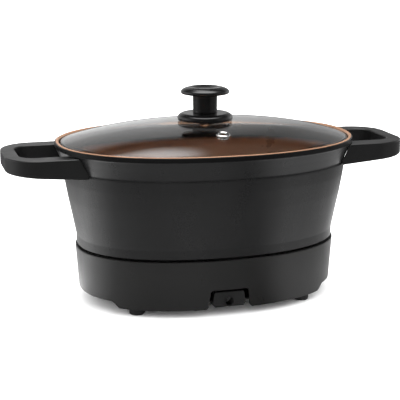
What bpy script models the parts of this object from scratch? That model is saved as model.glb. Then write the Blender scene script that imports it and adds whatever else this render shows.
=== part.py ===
"""Oval slow cooker: a lift-out cast pot with a glass lid, on a shallow electric heating base.

Everything is in metres with +Z up.  The origin is on the surface that the feet stand on, under
the middle of the pot.  +X runs along the long axis, +Y towards the selector knob, and the cord
gland looks along -Y.  Oval pieces are lofts whose sections are all insets of the pot's rim
outline, so an inset (distance in from that outline) and a height place any point of them.
"""
import math

import bmesh
import bpy
from mathutils import Matrix, Vector

# ---- Driving dimensions ---------------------------------------------------------------------
GAP = 0.0003               # clearance left between pieces that touch

RIM_A = 0.170              # half length of the pot's rim
RIM_B = 0.122              # half width of the pot's rim
SQUARENESS = 2.19          # superellipse exponent of the rim: 2 is an ellipse
RIM_Z = 0.182              # top of the rim

POT_WALL = 0.0035
POT_SKIRT_Z = 0.0665       # underside of the skirt, just above the base
BODY_TOP_Z = 0.1542         # where the body ends under the collar
POT_BOTTOM_Z = 0.0550      # underside of the spigot that drops into the base
POT_FLOOR_Z = 0.0600
LEDGE_Z = 0.1776           # ledge inside the rim that carries the lid
CONTACT_PLATE = 0.0027     # thickness of the steel plate under the pot

LID_INSET = 0.0062
LID_TOP_Z = 0.1808         # upper surface of the glass at its edge
LID_BOTTOM_Z = 0.1780
LID_RISE = 0.0196
LID_CROWN = 2.45           # exponent of the dome: higher is flatter in the middle
LID_INNER_RISE = 0.0192
GLASS_HOLE_R = 0.0050
VENT_Y = -0.070            # steam vent, on the cord side of the dome
VENT_BARREL_R = 0.0050

KNOB_TOP_Z = 0.2382
KNOB_R = 0.0275
STEM_R = 0.0138
KNOB_BORE_R = 0.0028
FLANGE_TOP_Z = 0.2091
FLANGE_R = 0.0313
WASHER_THICKNESS = 0.0016

HANDLE_TOP_Z = 0.1745
HANDLE_END_X = 0.2285
HANDLE_HALF_Y = 0.0575
HANDLE_CORNER_R = 0.037
HANDLE_ROOT_X = 0.135
FINGER_GAP_END_X = 0.213
FINGER_GAP_HALF_Y = 0.036
FINGER_GAP_CORNER_R = 0.017
LUG_ANGLES = [math.radians(a) for a in (-20, 20, 160, 200)]
LUG_INSET = -0.0015
LUG_SCREW_INSET = -0.0045
LUG_SIZE = (0.020, 0.0090, 0.0080)
LUG_Z = 0.1640
HANDLE_SCREW_Z = 0.1545    # lowest point of the screws that hold the handles

BASE_TOP_Z = 0.0640
BASE_BOTTOM_Z = 0.0082
BASE_TOP_INSET = 0.0203
BASE_BOTTOM_INSET = 0.0241
BASE_WALL = 0.0024
BASE_MOUTH_INSET = 0.0255
HANDHOLD_X = (0.1145, 0.1235)
HANDHOLD_RISE = 0.0070

NOTCH_HALF_TOP = 0.0215
NOTCH_HALF_BOTTOM = 0.0235
NOTCH_TOP_Z = 0.0300
GLAND_HALF_TOP = 0.0170
GLAND_HALF_BOTTOM = 0.0188
GLAND_TOP_Z = 0.0272
GLAND_BOTTOM_Z = 0.0103
GLAND_Y = (-0.0968, -0.0820)
CORD_R = 0.0050
CORD_Z = 0.0162

PLATE_TOP_Z = POT_BOTTOM_Z - CONTACT_PLATE - 2 * GAP
PLATE_THICKNESS = 0.0070
PLATE_INSET = 0.0475
PLATE_BORE_R = 0.0145
ELEMENT_R = 0.0033
ELEMENT_INSET = 0.0660
ELEMENT_TAIL_X = 0.0120
POST_PLACES = [(0.062, 0.030), (-0.062, 0.030), (0.0, -0.046)]
REFLECTOR_Z = 0.0330
REFLECTOR_INSET = 0.0500
SHEET = 0.0008             # thickness of the pressed steel pieces
COVER_Z = 0.0160
COVER_THICKNESS = 0.0015
COVER_INSET = 0.0275
COVER_SCREW_INSET = 0.0305
COVER_SCREW_ANGLES = [math.radians(a) for a in (25, 155, 205, 335)]
POST_R = 0.0062            # posts inside the wall that the cover is screwed to
POST_TOP_Z = 0.0460

SELECTOR_Z = 0.0360        # height of the selector's axis
SELECTOR_FACE_Y = 0.1030   # flat boss on the wall behind the selector
SELECTOR_R = 0.0180
SELECTOR_BOSS_R = 0.0225
SPINDLE_R = 0.0030
LENS_R = 0.0030

FOOT_X = 0.0955
FOOT_Y = 0.0627
FOOT_R = 0.0086

OVAL_STEPS = 40
TURN_STEPS = 24
SMALL_STEPS = 12

BLACK_CAST = ((0.020, 0.020, 0.021), 0.42, 0.3)
BLACK_PLASTIC = ((0.016, 0.016, 0.017), 0.45, 0.0)
BLACK_PAINT = ((0.022, 0.022, 0.023), 0.48, 0.2)
RUBBER = ((0.014, 0.014, 0.014), 0.85, 0.0)
SILICONE = ((0.25, 0.25, 0.26), 0.60, 0.0)
STEEL = ((0.62, 0.62, 0.61), 0.28, 1.0)
ALUMINIUM = ((0.78, 0.78, 0.79), 0.38, 1.0)
GLASS = ((0.80, 0.82, 0.82), 0.03, 0.0)
CERAMIC = ((0.82, 0.80, 0.74), 0.55, 0.0)
AMBER = ((0.90, 0.35, 0.08), 0.15, 0.0)
WIRE_BROWN = ((0.20, 0.08, 0.03), 0.55, 0.0)
WIRE_BLUE = ((0.04, 0.10, 0.40), 0.55, 0.0)
WIRE_RED = ((0.45, 0.03, 0.02), 0.55, 0.0)


# ---- Scene and materials --------------------------------------------------------------------
def clear_scene():
    for old in list(bpy.data.objects):
        bpy.data.objects.remove(old, do_unlink=True)


def new_collection(name):
    collection = bpy.data.collections.new(name)
    bpy.context.scene.collection.children.link(collection)
    return collection


clear_scene()
PARTS = new_collection("slow_cooker")
CUTTERS = new_collection("cutters")


def make_material(name, finish):
    colour, roughness, metallic = finish
    material = bpy.data.materials.new(name)
    material.use_nodes = True
    shader = material.node_tree.nodes["Principled BSDF"]
    shader.inputs["Base Color"].default_value = (*colour, 1.0)
    shader.inputs["Roughness"].default_value = roughness
    shader.inputs["Metallic"].default_value = metallic
    if finish is GLASS:
        shader.inputs["Transmission Weight"].default_value = 1.0
    return material


def add_object(name, data, finish=None):
    """Link an object: with a finish it is a part, without one it is a cutter or a tool."""
    obj = bpy.data.objects.new(name, data)
    if finish is None:
        CUTTERS.objects.link(obj)
        obj.hide_render = True
        obj.display_type = "WIRE"
    else:
        PARTS.objects.link(obj)
        data.materials.append(make_material(name, finish))
    return obj


def finish_mesh(name, bm, finish, smooth_angle=None):
    bmesh.ops.recalc_face_normals(bm, faces=bm.faces)
    mesh = bpy.data.meshes.new(name)
    bm.to_mesh(mesh)
    bm.free()
    if smooth_angle is not None:
        mesh.shade_smooth()
        mesh.set_sharp_from_angle(angle=smooth_angle)
    return add_object(name, mesh, finish)


def add_body(name, location=(0, 0, 0)):
    """An empty that carries the pieces which move together."""
    empty = bpy.data.objects.new(name, None)
    empty.location = location
    PARTS.objects.link(empty)
    return empty


def attach(body, *pieces):
    """Parent the pieces to the body and leave them where they are."""
    for piece in pieces:
        piece.parent = body
        piece.location = Vector(piece.location) - Vector(body.location)


# ---- The oval -------------------------------------------------------------------------------
def oval_frame(angle, inset=0.0):
    """Point on the rim outline moved in by inset, and the outward normal there."""
    cosine = math.cos(angle)
    sine = math.sin(angle)
    x = math.copysign(RIM_A * abs(cosine) ** (2 / SQUARENESS), cosine)
    y = math.copysign(RIM_B * abs(sine) ** (2 / SQUARENESS), sine)
    slope_x = math.copysign((abs(x) / RIM_A) ** (SQUARENESS - 1) / RIM_A, x)
    slope_y = math.copysign((abs(y) / RIM_B) ** (SQUARENESS - 1) / RIM_B, y)
    normal = Vector((slope_x, slope_y, 0)).normalized()
    return Vector((x, y, 0)) - inset * normal, normal


def oval_loft(name, profile, finish, ring=False):
    """Solid through one oval section for each (inset, z): capped, or closed on itself as a ring."""
    bm = bmesh.new()
    angles = [2 * math.pi * i / OVAL_STEPS for i in range(OVAL_STEPS)]
    loops = []
    for inset, z in profile:
        points = [oval_frame(angle, inset)[0] for angle in angles]
        loops.append([bm.verts.new((p.x, p.y, z)) for p in points])
    pairs = list(zip(loops, loops[1:]))
    if ring:
        pairs.append((loops[-1], loops[0]))
    else:
        bm.faces.new(loops[0])
        bm.faces.new(loops[-1])
    for lower, upper in pairs:
        for i in range(OVAL_STEPS):
            j = (i + 1) % OVAL_STEPS
            bm.faces.new((lower[i], lower[j], upper[j], upper[i]))
    return finish_mesh(name, bm, finish, smooth_angle=math.radians(35))


# ---- Turned, boxed, bent and extruded pieces ------------------------------------------------
def turned(name, profile, finish, steps=TURN_STEPS, ring=False):
    """Turn an (r, z) profile about Z.  It runs down the outer side; a ring closes on itself."""
    mesh = bpy.data.meshes.new(name)
    verts = [(r, 0, z) for r, z in profile]
    edges = [(i, i + 1) for i in range(len(verts) - 1)]
    if ring:
        edges.append((len(verts) - 1, 0))
    mesh.from_pydata(verts, edges, [])
    obj = add_object(name, mesh, finish)
    screw = obj.modifiers.new("turn", "SCREW")
    screw.steps = steps
    screw.render_steps = steps
    screw.use_merge_vertices = True
    screw.merge_threshold = 0.00001
    return obj


def box(name, centre, size, finish, bevel=0.0):
    bm = bmesh.new()
    bmesh.ops.create_cube(bm, size=1.0)
    bmesh.ops.scale(bm, vec=size, verts=bm.verts)
    obj = finish_mesh(name, bm, finish)
    obj.location = centre
    if bevel:
        add_bevel(obj, bevel)
    return obj


def cylinder(name, centre, radius, depth, finish, axis="Z", steps=SMALL_STEPS):
    turn = {"X": Matrix.Rotation(math.pi / 2, 4, "Y"), "Y": Matrix.Rotation(math.pi / 2, 4, "X"),
            "Z": Matrix.Identity(4)}[axis]
    bm = bmesh.new()
    bmesh.ops.create_cone(bm, cap_ends=True, segments=steps, radius1=radius, radius2=radius,
                          depth=depth, matrix=turn)
    obj = finish_mesh(name, bm, finish, smooth_angle=math.radians(35))
    obj.location = centre
    return obj


def add_bevel(obj, width, segments=2, angle=math.radians(40)):
    bevel = obj.modifiers.new("round", "BEVEL")
    bevel.width = width
    bevel.segments = segments
    bevel.limit_method = "ANGLE"
    bevel.angle_limit = angle
    return bevel


def add_boolean(obj, operation, *tools):
    for tool in tools:
        boolean = obj.modifiers.new(tool.name, "BOOLEAN")
        boolean.operation = operation
        boolean.solver = "EXACT"
        boolean.object = tool


def solid_from_curve(curve_object, finish):
    """Replace a curve object by a closed mesh object in the same place."""
    graph = bpy.context.evaluated_depsgraph_get()
    mesh = bpy.data.meshes.new_from_object(curve_object.evaluated_get(graph))
    bm = bmesh.new()
    bm.from_mesh(mesh)
    bmesh.ops.remove_doubles(bm, verts=bm.verts, dist=0.00001)
    name = curve_object.name
    place = curve_object.matrix_world.copy()
    bpy.data.objects.remove(curve_object, do_unlink=True)
    obj = finish_mesh(name, bm, finish)
    obj.matrix_world = place
    return obj


def merge_flat_faces(obj):
    """Turn the triangles of each flat side into one face, so that its edges bevel evenly."""
    bm = bmesh.new()
    bm.from_mesh(obj.data)
    bmesh.ops.dissolve_limit(bm, angle_limit=math.radians(1), verts=bm.verts, edges=bm.edges)
    bm.to_mesh(obj.data)
    bm.free()


def new_curve(name, dimensions, outlines, cyclic):
    curve = bpy.data.curves.new(name, "CURVE")
    curve.dimensions = dimensions
    for outline in outlines:
        spline = curve.splines.new("POLY")
        spline.points.add(len(outline) - 1)
        for point, place in zip(spline.points, outline):
            point.co = (*place, 1.0)
        spline.use_cyclic_u = cyclic
    obj = bpy.data.objects.new(name, curve)
    CUTTERS.objects.link(obj)
    return obj


def prism(name, outlines, thickness, finish, upright=False, middle=0.0):
    """Extrude flat outlines.  A flat prism lies across Z; an upright one is XZ, across Y."""
    obj = new_curve(name, "2D", [[(u, v, 0) for u, v in outline] for outline in outlines], True)
    obj.data.fill_mode = "BOTH"
    obj.data.extrude = thickness / 2
    if upright:
        obj.rotation_euler = (math.pi / 2, 0, 0)
        obj.location = (0, middle, 0)
    else:
        obj.location = (0, 0, middle)
    bpy.context.view_layer.update()
    return solid_from_curve(obj, finish)


def tube(name, points, radius, finish):
    obj = new_curve(name, "3D", [points], False)
    obj.data.bevel_depth = radius
    obj.data.bevel_resolution = 2
    obj.data.use_fill_caps = True
    bpy.context.view_layer.update()
    return solid_from_curve(obj, finish)


def arc(centre_u, centre_v, radius, start, end, steps):
    """Points along an arc, angles in degrees, both ends included."""
    angles = [math.radians(start + (end - start) * i / steps) for i in range(steps + 1)]
    return [(centre_u + radius * math.cos(a), centre_v + radius * math.sin(a)) for a in angles]


def smooth_path(knots, steps):
    """Catmull-Rom curve through the knots."""
    padded = [knots[0], *knots, knots[-1]]
    padded = [Vector(knot) for knot in padded]
    path = []
    for before, start, end, after in zip(padded, padded[1:], padded[2:], padded[3:]):
        for i in range(steps):
            t = i / steps
            path.append(0.5 * (2 * start + (end - before) * t
                               + (2 * before - 5 * start + 4 * end - after) * t ** 2
                               + (3 * start - before - 3 * end + after) * t ** 3))
    path.append(padded[-1])
    return path


def columns(name, places, radius, low, high):
    """Upright cylinders at some places, as one tool."""
    bm = bmesh.new()
    for x, y in places:
        matrix = Matrix.Translation((x, y, (low + high) / 2))
        bmesh.ops.create_cone(bm, cap_ends=True, segments=12, radius1=radius, radius2=radius,
                              depth=high - low, matrix=matrix)
    return finish_mesh(name, bm, None)


def oval_places(angles, inset):
    return [oval_frame(angle, inset)[0].xy for angle in angles]


def mirrored(outline):
    """Complete a half outline, given for +X from top to bottom, with its mirror image."""
    return outline + [(-u, v) for u, v in reversed(outline)]


# ---- Pot ------------------------------------------------------------------------------------
def pot_outside():
    """Outer side of the pot from under the skirt to the rim, as (inset, z)."""
    skirt = [(0.0219, POT_SKIRT_Z), (0.0217, 0.0765), (0.0213, 0.0785)]
    body = [(0.0172, 0.1000), (0.0132, 0.1200), (0.0099, 0.1400), (0.0082, BODY_TOP_Z - 0.0012),
            (0.0084, BODY_TOP_Z)]
    collar = [(0.0093, BODY_TOP_Z + 0.0003), (0.0092, 0.1558), (0.0050, 0.1660), (0.0009, 0.1750)]
    rim = [(0.0002, 0.1762), (0.0, 0.1806)]
    return skirt + body + collar + rim


def pot_profile():
    spigot = [(0.0290, POT_BOTTOM_Z), (0.0282, POT_BOTTOM_Z + 0.001), (0.0268, POT_SKIRT_Z)]
    rim = [(0.0010, RIM_Z), (0.0040, RIM_Z), (0.0048, RIM_Z - 0.001), (0.0050, LEDGE_Z)]
    inside = [(0.0102, LEDGE_Z), (0.0108, LEDGE_Z - 0.0015), (0.0078 + POT_WALL, 0.1545),
              (0.0217 + POT_WALL, 0.0785), (0.0280, 0.0690), (0.0325, 0.0625),
              (0.0400, POT_FLOOR_Z)]
    return spigot + pot_outside() + rim + inside


def lug_boxes(name, growth):
    """Boxes that stand out of the collar at the handles' four roots, as one tool."""
    bm = bmesh.new()
    for angle in LUG_ANGLES:
        centre, normal = oval_frame(angle, LUG_INSET)
        size = [length + 2 * growth for length in LUG_SIZE]
        place = (Matrix.Translation((centre.x, centre.y, LUG_Z))
                 @ Matrix.Rotation(math.atan2(normal.y, normal.x), 4, "Z")
                 @ Matrix.Diagonal((*size, 1.0)))
        bmesh.ops.create_cube(bm, size=1.0, matrix=place)
    return finish_mesh(name, bm, None)


def lug_columns(name, radius, low, high):
    return columns(name, oval_places(LUG_ANGLES, LUG_SCREW_INSET), radius, low, high)


def make_pot(body):
    pot = oval_loft("pot_body", pot_profile(), BLACK_CAST)
    add_boolean(pot, "UNION", lug_boxes("lug_bodies", 0.0))
    add_boolean(pot, "DIFFERENCE", lug_columns("lug_bores", 0.0022, 0.150, 0.172))
    plate_bottom = PLATE_TOP_Z + GAP
    contact = oval_loft("pot_contact_plate", [(0.0410, plate_bottom), (0.0400, plate_bottom + 0.001),
                                              (0.0400, plate_bottom + CONTACT_PLATE)], STEEL)
    attach(body, pot, contact)


# ---- Handles --------------------------------------------------------------------------------
def handle_outline():
    """A U open towards the pot, whose legs end inside the collar until it is cut out of them."""
    outer_x = HANDLE_END_X - HANDLE_CORNER_R
    outer_y = HANDLE_HALF_Y - HANDLE_CORNER_R
    inner_x = FINGER_GAP_END_X - FINGER_GAP_CORNER_R
    inner_y = FINGER_GAP_HALF_Y - FINGER_GAP_CORNER_R
    return ([(HANDLE_ROOT_X, -HANDLE_HALF_Y)] + arc(outer_x, -outer_y, HANDLE_CORNER_R, -90, 0, 7)
            + arc(outer_x, outer_y, HANDLE_CORNER_R, 0, 90, 7)
            + [(HANDLE_ROOT_X, HANDLE_HALF_Y), (HANDLE_ROOT_X, FINGER_GAP_HALF_Y)]
            + arc(inner_x, inner_y, FINGER_GAP_CORNER_R, 90, 0, 5)
            + arc(inner_x, -inner_y, FINGER_GAP_CORNER_R, 0, -90, 5)
            + [(HANDLE_ROOT_X, -FINGER_GAP_HALF_Y)])


def handle_bottom_z(x):
    """The underside rises towards the end of the grip."""
    return 0.1520 + (abs(x) - 0.155) * 0.0060 / 0.0735


def collar_envelope():
    """The space that the pot takes out of the handles, with its clearance."""
    side = [(inset - GAP, z) for inset, z in pot_outside() if z > 0.110]
    top_inset = side[-1][0]
    return oval_loft("collar_envelope", side + [(top_inset, RIM_Z + 0.004)], None)


def make_handles(body):
    envelope = collar_envelope()
    pockets = lug_boxes("lug_pockets", GAP)
    shank_holes = lug_columns("handle_shank_holes", 0.0023, 0.148, LUG_Z)
    head_holes = lug_columns("handle_head_holes", 0.0046, 0.145, 0.1575)
    for name, turn in (("handle_right", 0.0), ("handle_left", math.pi)):
        thickness = HANDLE_TOP_Z - handle_bottom_z(0.155)
        handle = prism(name, [handle_outline()], thickness, BLACK_PLASTIC,
                       middle=HANDLE_TOP_Z - thickness / 2)
        for vertex in handle.data.vertices:
            if vertex.co.z < 0:
                vertex.co.z = handle_bottom_z(vertex.co.x) - handle.location.z
        merge_flat_faces(handle)
        handle.rotation_euler = (0, 0, turn)
        add_bevel(handle, 0.0020)
        add_boolean(handle, "DIFFERENCE", envelope, pockets, shank_holes, head_holes)
        attach(body, handle)


def make_handle_screws(body):
    for number, place in enumerate(oval_places(LUG_ANGLES, LUG_SCREW_INSET), start=1):
        screw = turned(f"handle_screw_{number}", screw_profile(0.0042, 0.0026, 0.0019, 0.0135),
                       STEEL, steps=SMALL_STEPS)
        screw.rotation_euler = (math.pi, 0, 0)
        screw.location = (*place, HANDLE_SCREW_Z)
        attach(body, screw)


def screw_profile(head_r, head_height, shank_r, length):
    """Pan-head screw pointing down, the head's top at z = 0."""
    return [(0, 0), (head_r * 0.7, 0), (head_r, -head_height * 0.4), (head_r, -head_height),
            (shank_r, -head_height), (shank_r, -length + shank_r), (shank_r * 0.4, -length),
            (0, -length)]


# ---- Lid ------------------------------------------------------------------------------------
def dome_z(share, edge_z, rise):
    """Height of a dome at a share of the way from its centre to its edge."""
    return edge_z + rise * (1 - share ** LID_CROWN)


def lid_sections():
    """Sections of the glass as (share of the edge outline, z), from the middle round the edge."""
    shares = [k / 6 for k in range(1, 6)] + [0.93]
    top = [(s, dome_z(s, LID_TOP_Z, LID_RISE)) for s in shares]
    bottom = [(s, dome_z(s, LID_BOTTOM_Z, LID_INNER_RISE)) for s in reversed(shares)]
    edge_mid = (LID_TOP_Z + LID_BOTTOM_Z) / 2
    edge = [(0.988, LID_TOP_Z + 0.0003), (0.998, edge_mid + 0.0008), (1.0, edge_mid),
            (0.994, LID_BOTTOM_Z + 0.0003), (0.985, LID_BOTTOM_Z)]
    return top + edge + bottom


def make_glass(body):
    """The dome's sections are scaled copies of its edge, round the bore for the knob screw."""
    edge = [oval_frame(2 * math.pi * i / OVAL_STEPS, LID_INSET)[0] for i in range(OVAL_STEPS)]
    bm = bmesh.new()
    loops = [[bm.verts.new((p.x * s, p.y * s, z)) for p in edge] for s, z in lid_sections()]
    for lower, upper in zip(loops, loops[1:]):
        for i in range(OVAL_STEPS):
            j = (i + 1) % OVAL_STEPS
            bm.faces.new((lower[i], lower[j], upper[j], upper[i]))
    for loop, edge_z, rise in ((loops[0], LID_TOP_Z, LID_RISE),
                               (loops[-1], LID_BOTTOM_Z, LID_INNER_RISE)):
        middle = bm.verts.new((0, 0, edge_z + rise))
        for i in range(OVAL_STEPS):
            bm.faces.new((loop[i], loop[(i + 1) % OVAL_STEPS], middle))
    glass = finish_mesh("lid_glass", bm, GLASS, smooth_angle=math.radians(35))
    bore = cylinder("glass_bore", (0, 0, LID_TOP_Z + LID_RISE), GLASS_HOLE_R, 0.020, None)
    vent_bore = cylinder("vent_bore", vent_place(), VENT_BARREL_R + 2 * GAP, 0.016, None)
    vent_bore.rotation_euler = (vent_tilt(), 0, 0)
    add_boolean(glass, "DIFFERENCE", bore, vent_bore)
    attach(body, glass)


def vent_share():
    return abs(VENT_Y) / (RIM_B - LID_INSET)


def vent_place():
    """Middle of the glass's thickness where the steam vent sits."""
    top = dome_z(vent_share(), LID_TOP_Z, LID_RISE)
    bottom = dome_z(vent_share(), LID_BOTTOM_Z, LID_INNER_RISE)
    return (0, VENT_Y, (top + bottom) / 2)


def vent_tilt():
    slope = LID_RISE * LID_CROWN * vent_share() ** (LID_CROWN - 1) / (RIM_B - LID_INSET)
    return math.atan(slope)


def make_vent(body):
    """Steel eyelet rolled over both faces of the glass."""
    reach = 0.0021
    lip_r = 0.0078
    bore_r = 0.0042
    profile = [(bore_r + 0.0008, reach + 0.0012), (lip_r - 0.0008, reach + 0.0010),
               (lip_r, reach + 0.0001), (VENT_BARREL_R, reach), (VENT_BARREL_R, -reach),
               (lip_r - 0.0005, -reach), (lip_r - 0.0008, -reach - 0.0008),
               (bore_r, -reach - 0.0008), (bore_r, reach + 0.0006)]
    vent = turned("steam_vent", profile, STEEL, steps=16, ring=True)
    vent.location = vent_place()
    vent.rotation_euler = (vent_tilt(), 0, 0)
    attach(body, vent)


def make_lid_knob(body):
    """Dished disc on a stem, screwed through the glass from below, over a separate flange."""
    seat_z = LID_TOP_Z + LID_RISE + GAP
    bore_top = FLANGE_TOP_Z + 0.0150
    disc = [(0, KNOB_TOP_Z - 0.0022), (0.0100, KNOB_TOP_Z - 0.0017), (0.0158, KNOB_TOP_Z - 0.0004),
            (0.0172, KNOB_TOP_Z), (0.0197, KNOB_TOP_Z - 0.0002), (0.0240, KNOB_TOP_Z - 0.0018),
            (0.0268, KNOB_TOP_Z - 0.0038), (KNOB_R, KNOB_TOP_Z - 0.0053),
            (0.0266, KNOB_TOP_Z - 0.0074), (0.0210, KNOB_TOP_Z - 0.0080)]
    stem = [(STEM_R + 0.0006, KNOB_TOP_Z - 0.0084), (STEM_R, KNOB_TOP_Z - 0.0096),
            (STEM_R - 0.0002, FLANGE_TOP_Z + GAP)]
    bore = [(KNOB_BORE_R, FLANGE_TOP_Z + GAP), (KNOB_BORE_R, bore_top), (0, bore_top)]
    flange = [(0.0240, FLANGE_TOP_Z), (0.0268, FLANGE_TOP_Z - 0.0002),
              (0.0296, FLANGE_TOP_Z - 0.0018), (FLANGE_R, FLANGE_TOP_Z - 0.0046),
              (FLANGE_R - 0.0005, seat_z + 0.0008), (FLANGE_R - 0.0013, seat_z),
              (KNOB_BORE_R, seat_z), (KNOB_BORE_R, FLANGE_TOP_Z)]
    glass_under = LID_BOTTOM_Z + LID_INNER_RISE - GAP
    washer_under = glass_under - WASHER_THICKNESS
    washer = [(0.0100, glass_under), (0.0100, washer_under + 0.0002),
              (KNOB_BORE_R, washer_under), (KNOB_BORE_R, glass_under)]
    head_height = 0.0028
    screw = turned("knob_screw", screw_profile(0.0055, head_height, 0.0024, 0.0250), STEEL,
                   steps=SMALL_STEPS)
    screw.rotation_euler = (math.pi, 0, 0)
    screw.location = (0, 0, washer_under - GAP - head_height)
    attach(body, turned("lid_knob", disc + stem + bore, BLACK_PLASTIC),
           turned("knob_flange", flange, BLACK_PLASTIC, ring=True),
           turned("knob_washer", washer, SILICONE, steps=SMALL_STEPS, ring=True), screw)


# ---- Base housing ---------------------------------------------------------------------------
def base_inset(z):
    """Inset of the base's outer wall, which leans in towards the bottom."""
    share = (BASE_TOP_Z - z) / (BASE_TOP_Z - BASE_BOTTOM_Z)
    return BASE_TOP_INSET + share * (BASE_BOTTOM_INSET - BASE_TOP_INSET)


def handhold_cutter():
    """Raises the bottom edge at both ends, behind an S-shaped step."""
    low = BASE_BOTTOM_Z
    start, end = HANDHOLD_X
    step = [(start + (end - start) * k / 6,
             low + HANDHOLD_RISE * (0.5 - 0.5 * math.cos(math.pi * k / 6))) for k in range(7)]
    half = [(start, low - 0.010)] + step + [(RIM_A, low + HANDHOLD_RISE), (RIM_A, low - 0.010)]
    right = prism("handhold_right", [half], 3 * RIM_B, None, upright=True)
    left = prism("handhold_left", [[(-x, z) for x, z in half]], 3 * RIM_B, None, upright=True)
    return right, left


def notch_cutter():
    low = BASE_BOTTOM_Z
    corner = 0.0035
    half = (arc(NOTCH_HALF_TOP - corner, NOTCH_TOP_Z - corner, corner, 90, 3, 4)
            + [(NOTCH_HALF_BOTTOM, low + 0.0030), (NOTCH_HALF_BOTTOM + 0.0030, low - 0.0002),
               (NOTCH_HALF_BOTTOM + 0.0030, low - 0.0050)])
    return prism("notch", [mirrored(half)], 0.040, None, upright=True, middle=-RIM_B + 0.020)


def cover_screw_columns(name, radius, low, high):
    return columns(name, oval_places(COVER_SCREW_ANGLES, COVER_SCREW_INSET), radius, low, high)


def lamp_frame():
    """Place and outward direction of the indicator on the wall, to the right of the knob."""
    angle = math.radians(73)
    point, normal = oval_frame(angle, base_inset(SELECTOR_Z))
    return Vector((point.x, point.y, SELECTOR_Z)), normal


def make_base_shell(body):
    flange_low = BASE_TOP_Z - 0.0022
    profile = [(BASE_BOTTOM_INSET + BASE_WALL, BASE_BOTTOM_Z),
               (BASE_BOTTOM_INSET + 0.0005, BASE_BOTTOM_Z),
               (base_inset(BASE_BOTTOM_Z + 0.001), BASE_BOTTOM_Z + 0.001),
               (base_inset(BASE_TOP_Z - 0.001), BASE_TOP_Z - 0.001),
               (BASE_TOP_INSET + 0.001, BASE_TOP_Z), (BASE_MOUTH_INSET, BASE_TOP_Z),
               (BASE_MOUTH_INSET, flange_low), (BASE_TOP_INSET + BASE_WALL, flange_low)]
    shell = oval_loft("base_shell", profile, BLACK_PAINT, ring=True)
    boss = cylinder("knob_boss", (0, SELECTOR_FACE_Y - 0.0028, SELECTOR_Z), SELECTOR_BOSS_R, 0.0056, None,
                    axis="Y", steps=TURN_STEPS)
    shaft_hole = cylinder("shaft_hole", (0, SELECTOR_FACE_Y, SELECTOR_Z), SPINDLE_R + 2 * GAP, 0.030, None,
                          axis="Y")
    posts = cover_screw_columns("screw_posts", POST_R, COVER_Z + COVER_THICKNESS + GAP,
                                POST_TOP_Z)
    place, normal = lamp_frame()
    lamp_hole = cylinder("lamp_hole", place, LENS_R + GAP, 0.020, None, axis="Y")
    lamp_hole.rotation_euler = (0, 0, math.atan2(normal.y, normal.x) - math.pi / 2)
    add_boolean(shell, "UNION", boss, posts)
    add_boolean(shell, "DIFFERENCE", *handhold_cutter(), notch_cutter(), shaft_hole, lamp_hole,
                cover_screw_columns("post_bores", 0.0020, 0.0100, 0.0360))
    attach(body, shell)


def make_base_deck(body):
    """Pressed steel pan under the mouth, which the pot's spigot drops into."""
    lip_z = BASE_TOP_Z - 0.0022 - GAP
    floor_z = 0.0505
    wall_top = BASE_MOUTH_INSET + 0.0003
    wall_low = BASE_MOUTH_INSET + 0.0013
    profile = [(0.0235, lip_z - SHEET), (0.0235, lip_z), (wall_top, lip_z),
               (wall_low, floor_z + SHEET), (0.0460, floor_z + SHEET), (0.0460, floor_z),
               (wall_low - SHEET, floor_z), (wall_top - SHEET, lip_z - SHEET)]
    attach(body, oval_loft("base_deck", profile, BLACK_PAINT, ring=True))


def make_cover(body):
    top = COVER_Z + COVER_THICKNESS
    cover = oval_loft("bottom_cover", [(COVER_INSET, COVER_Z), (COVER_INSET, top)], BLACK_PLASTIC)
    screw_holes = cover_screw_columns("cover_screw_holes", 0.0022, COVER_Z - 0.005, top + 0.005)
    foot_holes = columns("foot_holes", foot_places(), 0.0035, COVER_Z - 0.005, top + 0.005)
    add_boolean(cover, "DIFFERENCE", gland_clearance(), screw_holes, foot_holes, *vent_slots())
    attach(body, cover)


def gland_clearance():
    """Keeps the cover's edge clear of the gland block."""
    width = 2 * GLAND_HALF_BOTTOM + 2 * GAP
    return box("gland_clearance", (0, GLAND_Y[0], COVER_Z), (width, 0.0300, 0.010), None)


def foot_places():
    return [(x, y) for x in (-FOOT_X, FOOT_X) for y in (-FOOT_Y, FOOT_Y)]


def vent_slots():
    """Two rows of cooling slots through the cover."""
    slots = []
    for row in (-1, 1):
        for k in range(5):
            centre = (0.014 * (k - 2), row * 0.028, COVER_Z)
            slots.append(box(f"vent_slot_{row + 1}_{k}", centre, (0.004, 0.026, 0.010), None))
    return slots


def make_cover_screws(body):
    places = oval_places(COVER_SCREW_ANGLES, COVER_SCREW_INSET)
    for number, place in enumerate(places, start=1):
        screw = turned(f"cover_screw_{number}", screw_profile(0.0036, 0.0022, 0.0017, 0.0150),
                       STEEL, steps=12)
        screw.rotation_euler = (math.pi, 0, 0)
        screw.location = (*place, COVER_Z - GAP - 0.0022)
        attach(body, screw)


def make_feet(body):
    top = COVER_Z - GAP
    profile = [(0, top + 0.0055), (0.0022, top + 0.0055), (0.0031, top), (FOOT_R - 0.0010, top),
               (FOOT_R, 0.0060), (FOOT_R, 0.0012), (FOOT_R - 0.0012, 0), (0, 0)]
    for number, (x, y) in enumerate(foot_places(), start=1):
        foot = turned(f"foot_{number}", profile, RUBBER, steps=SMALL_STEPS)
        foot.location = (x, y, 0)
        attach(body, foot)


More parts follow.
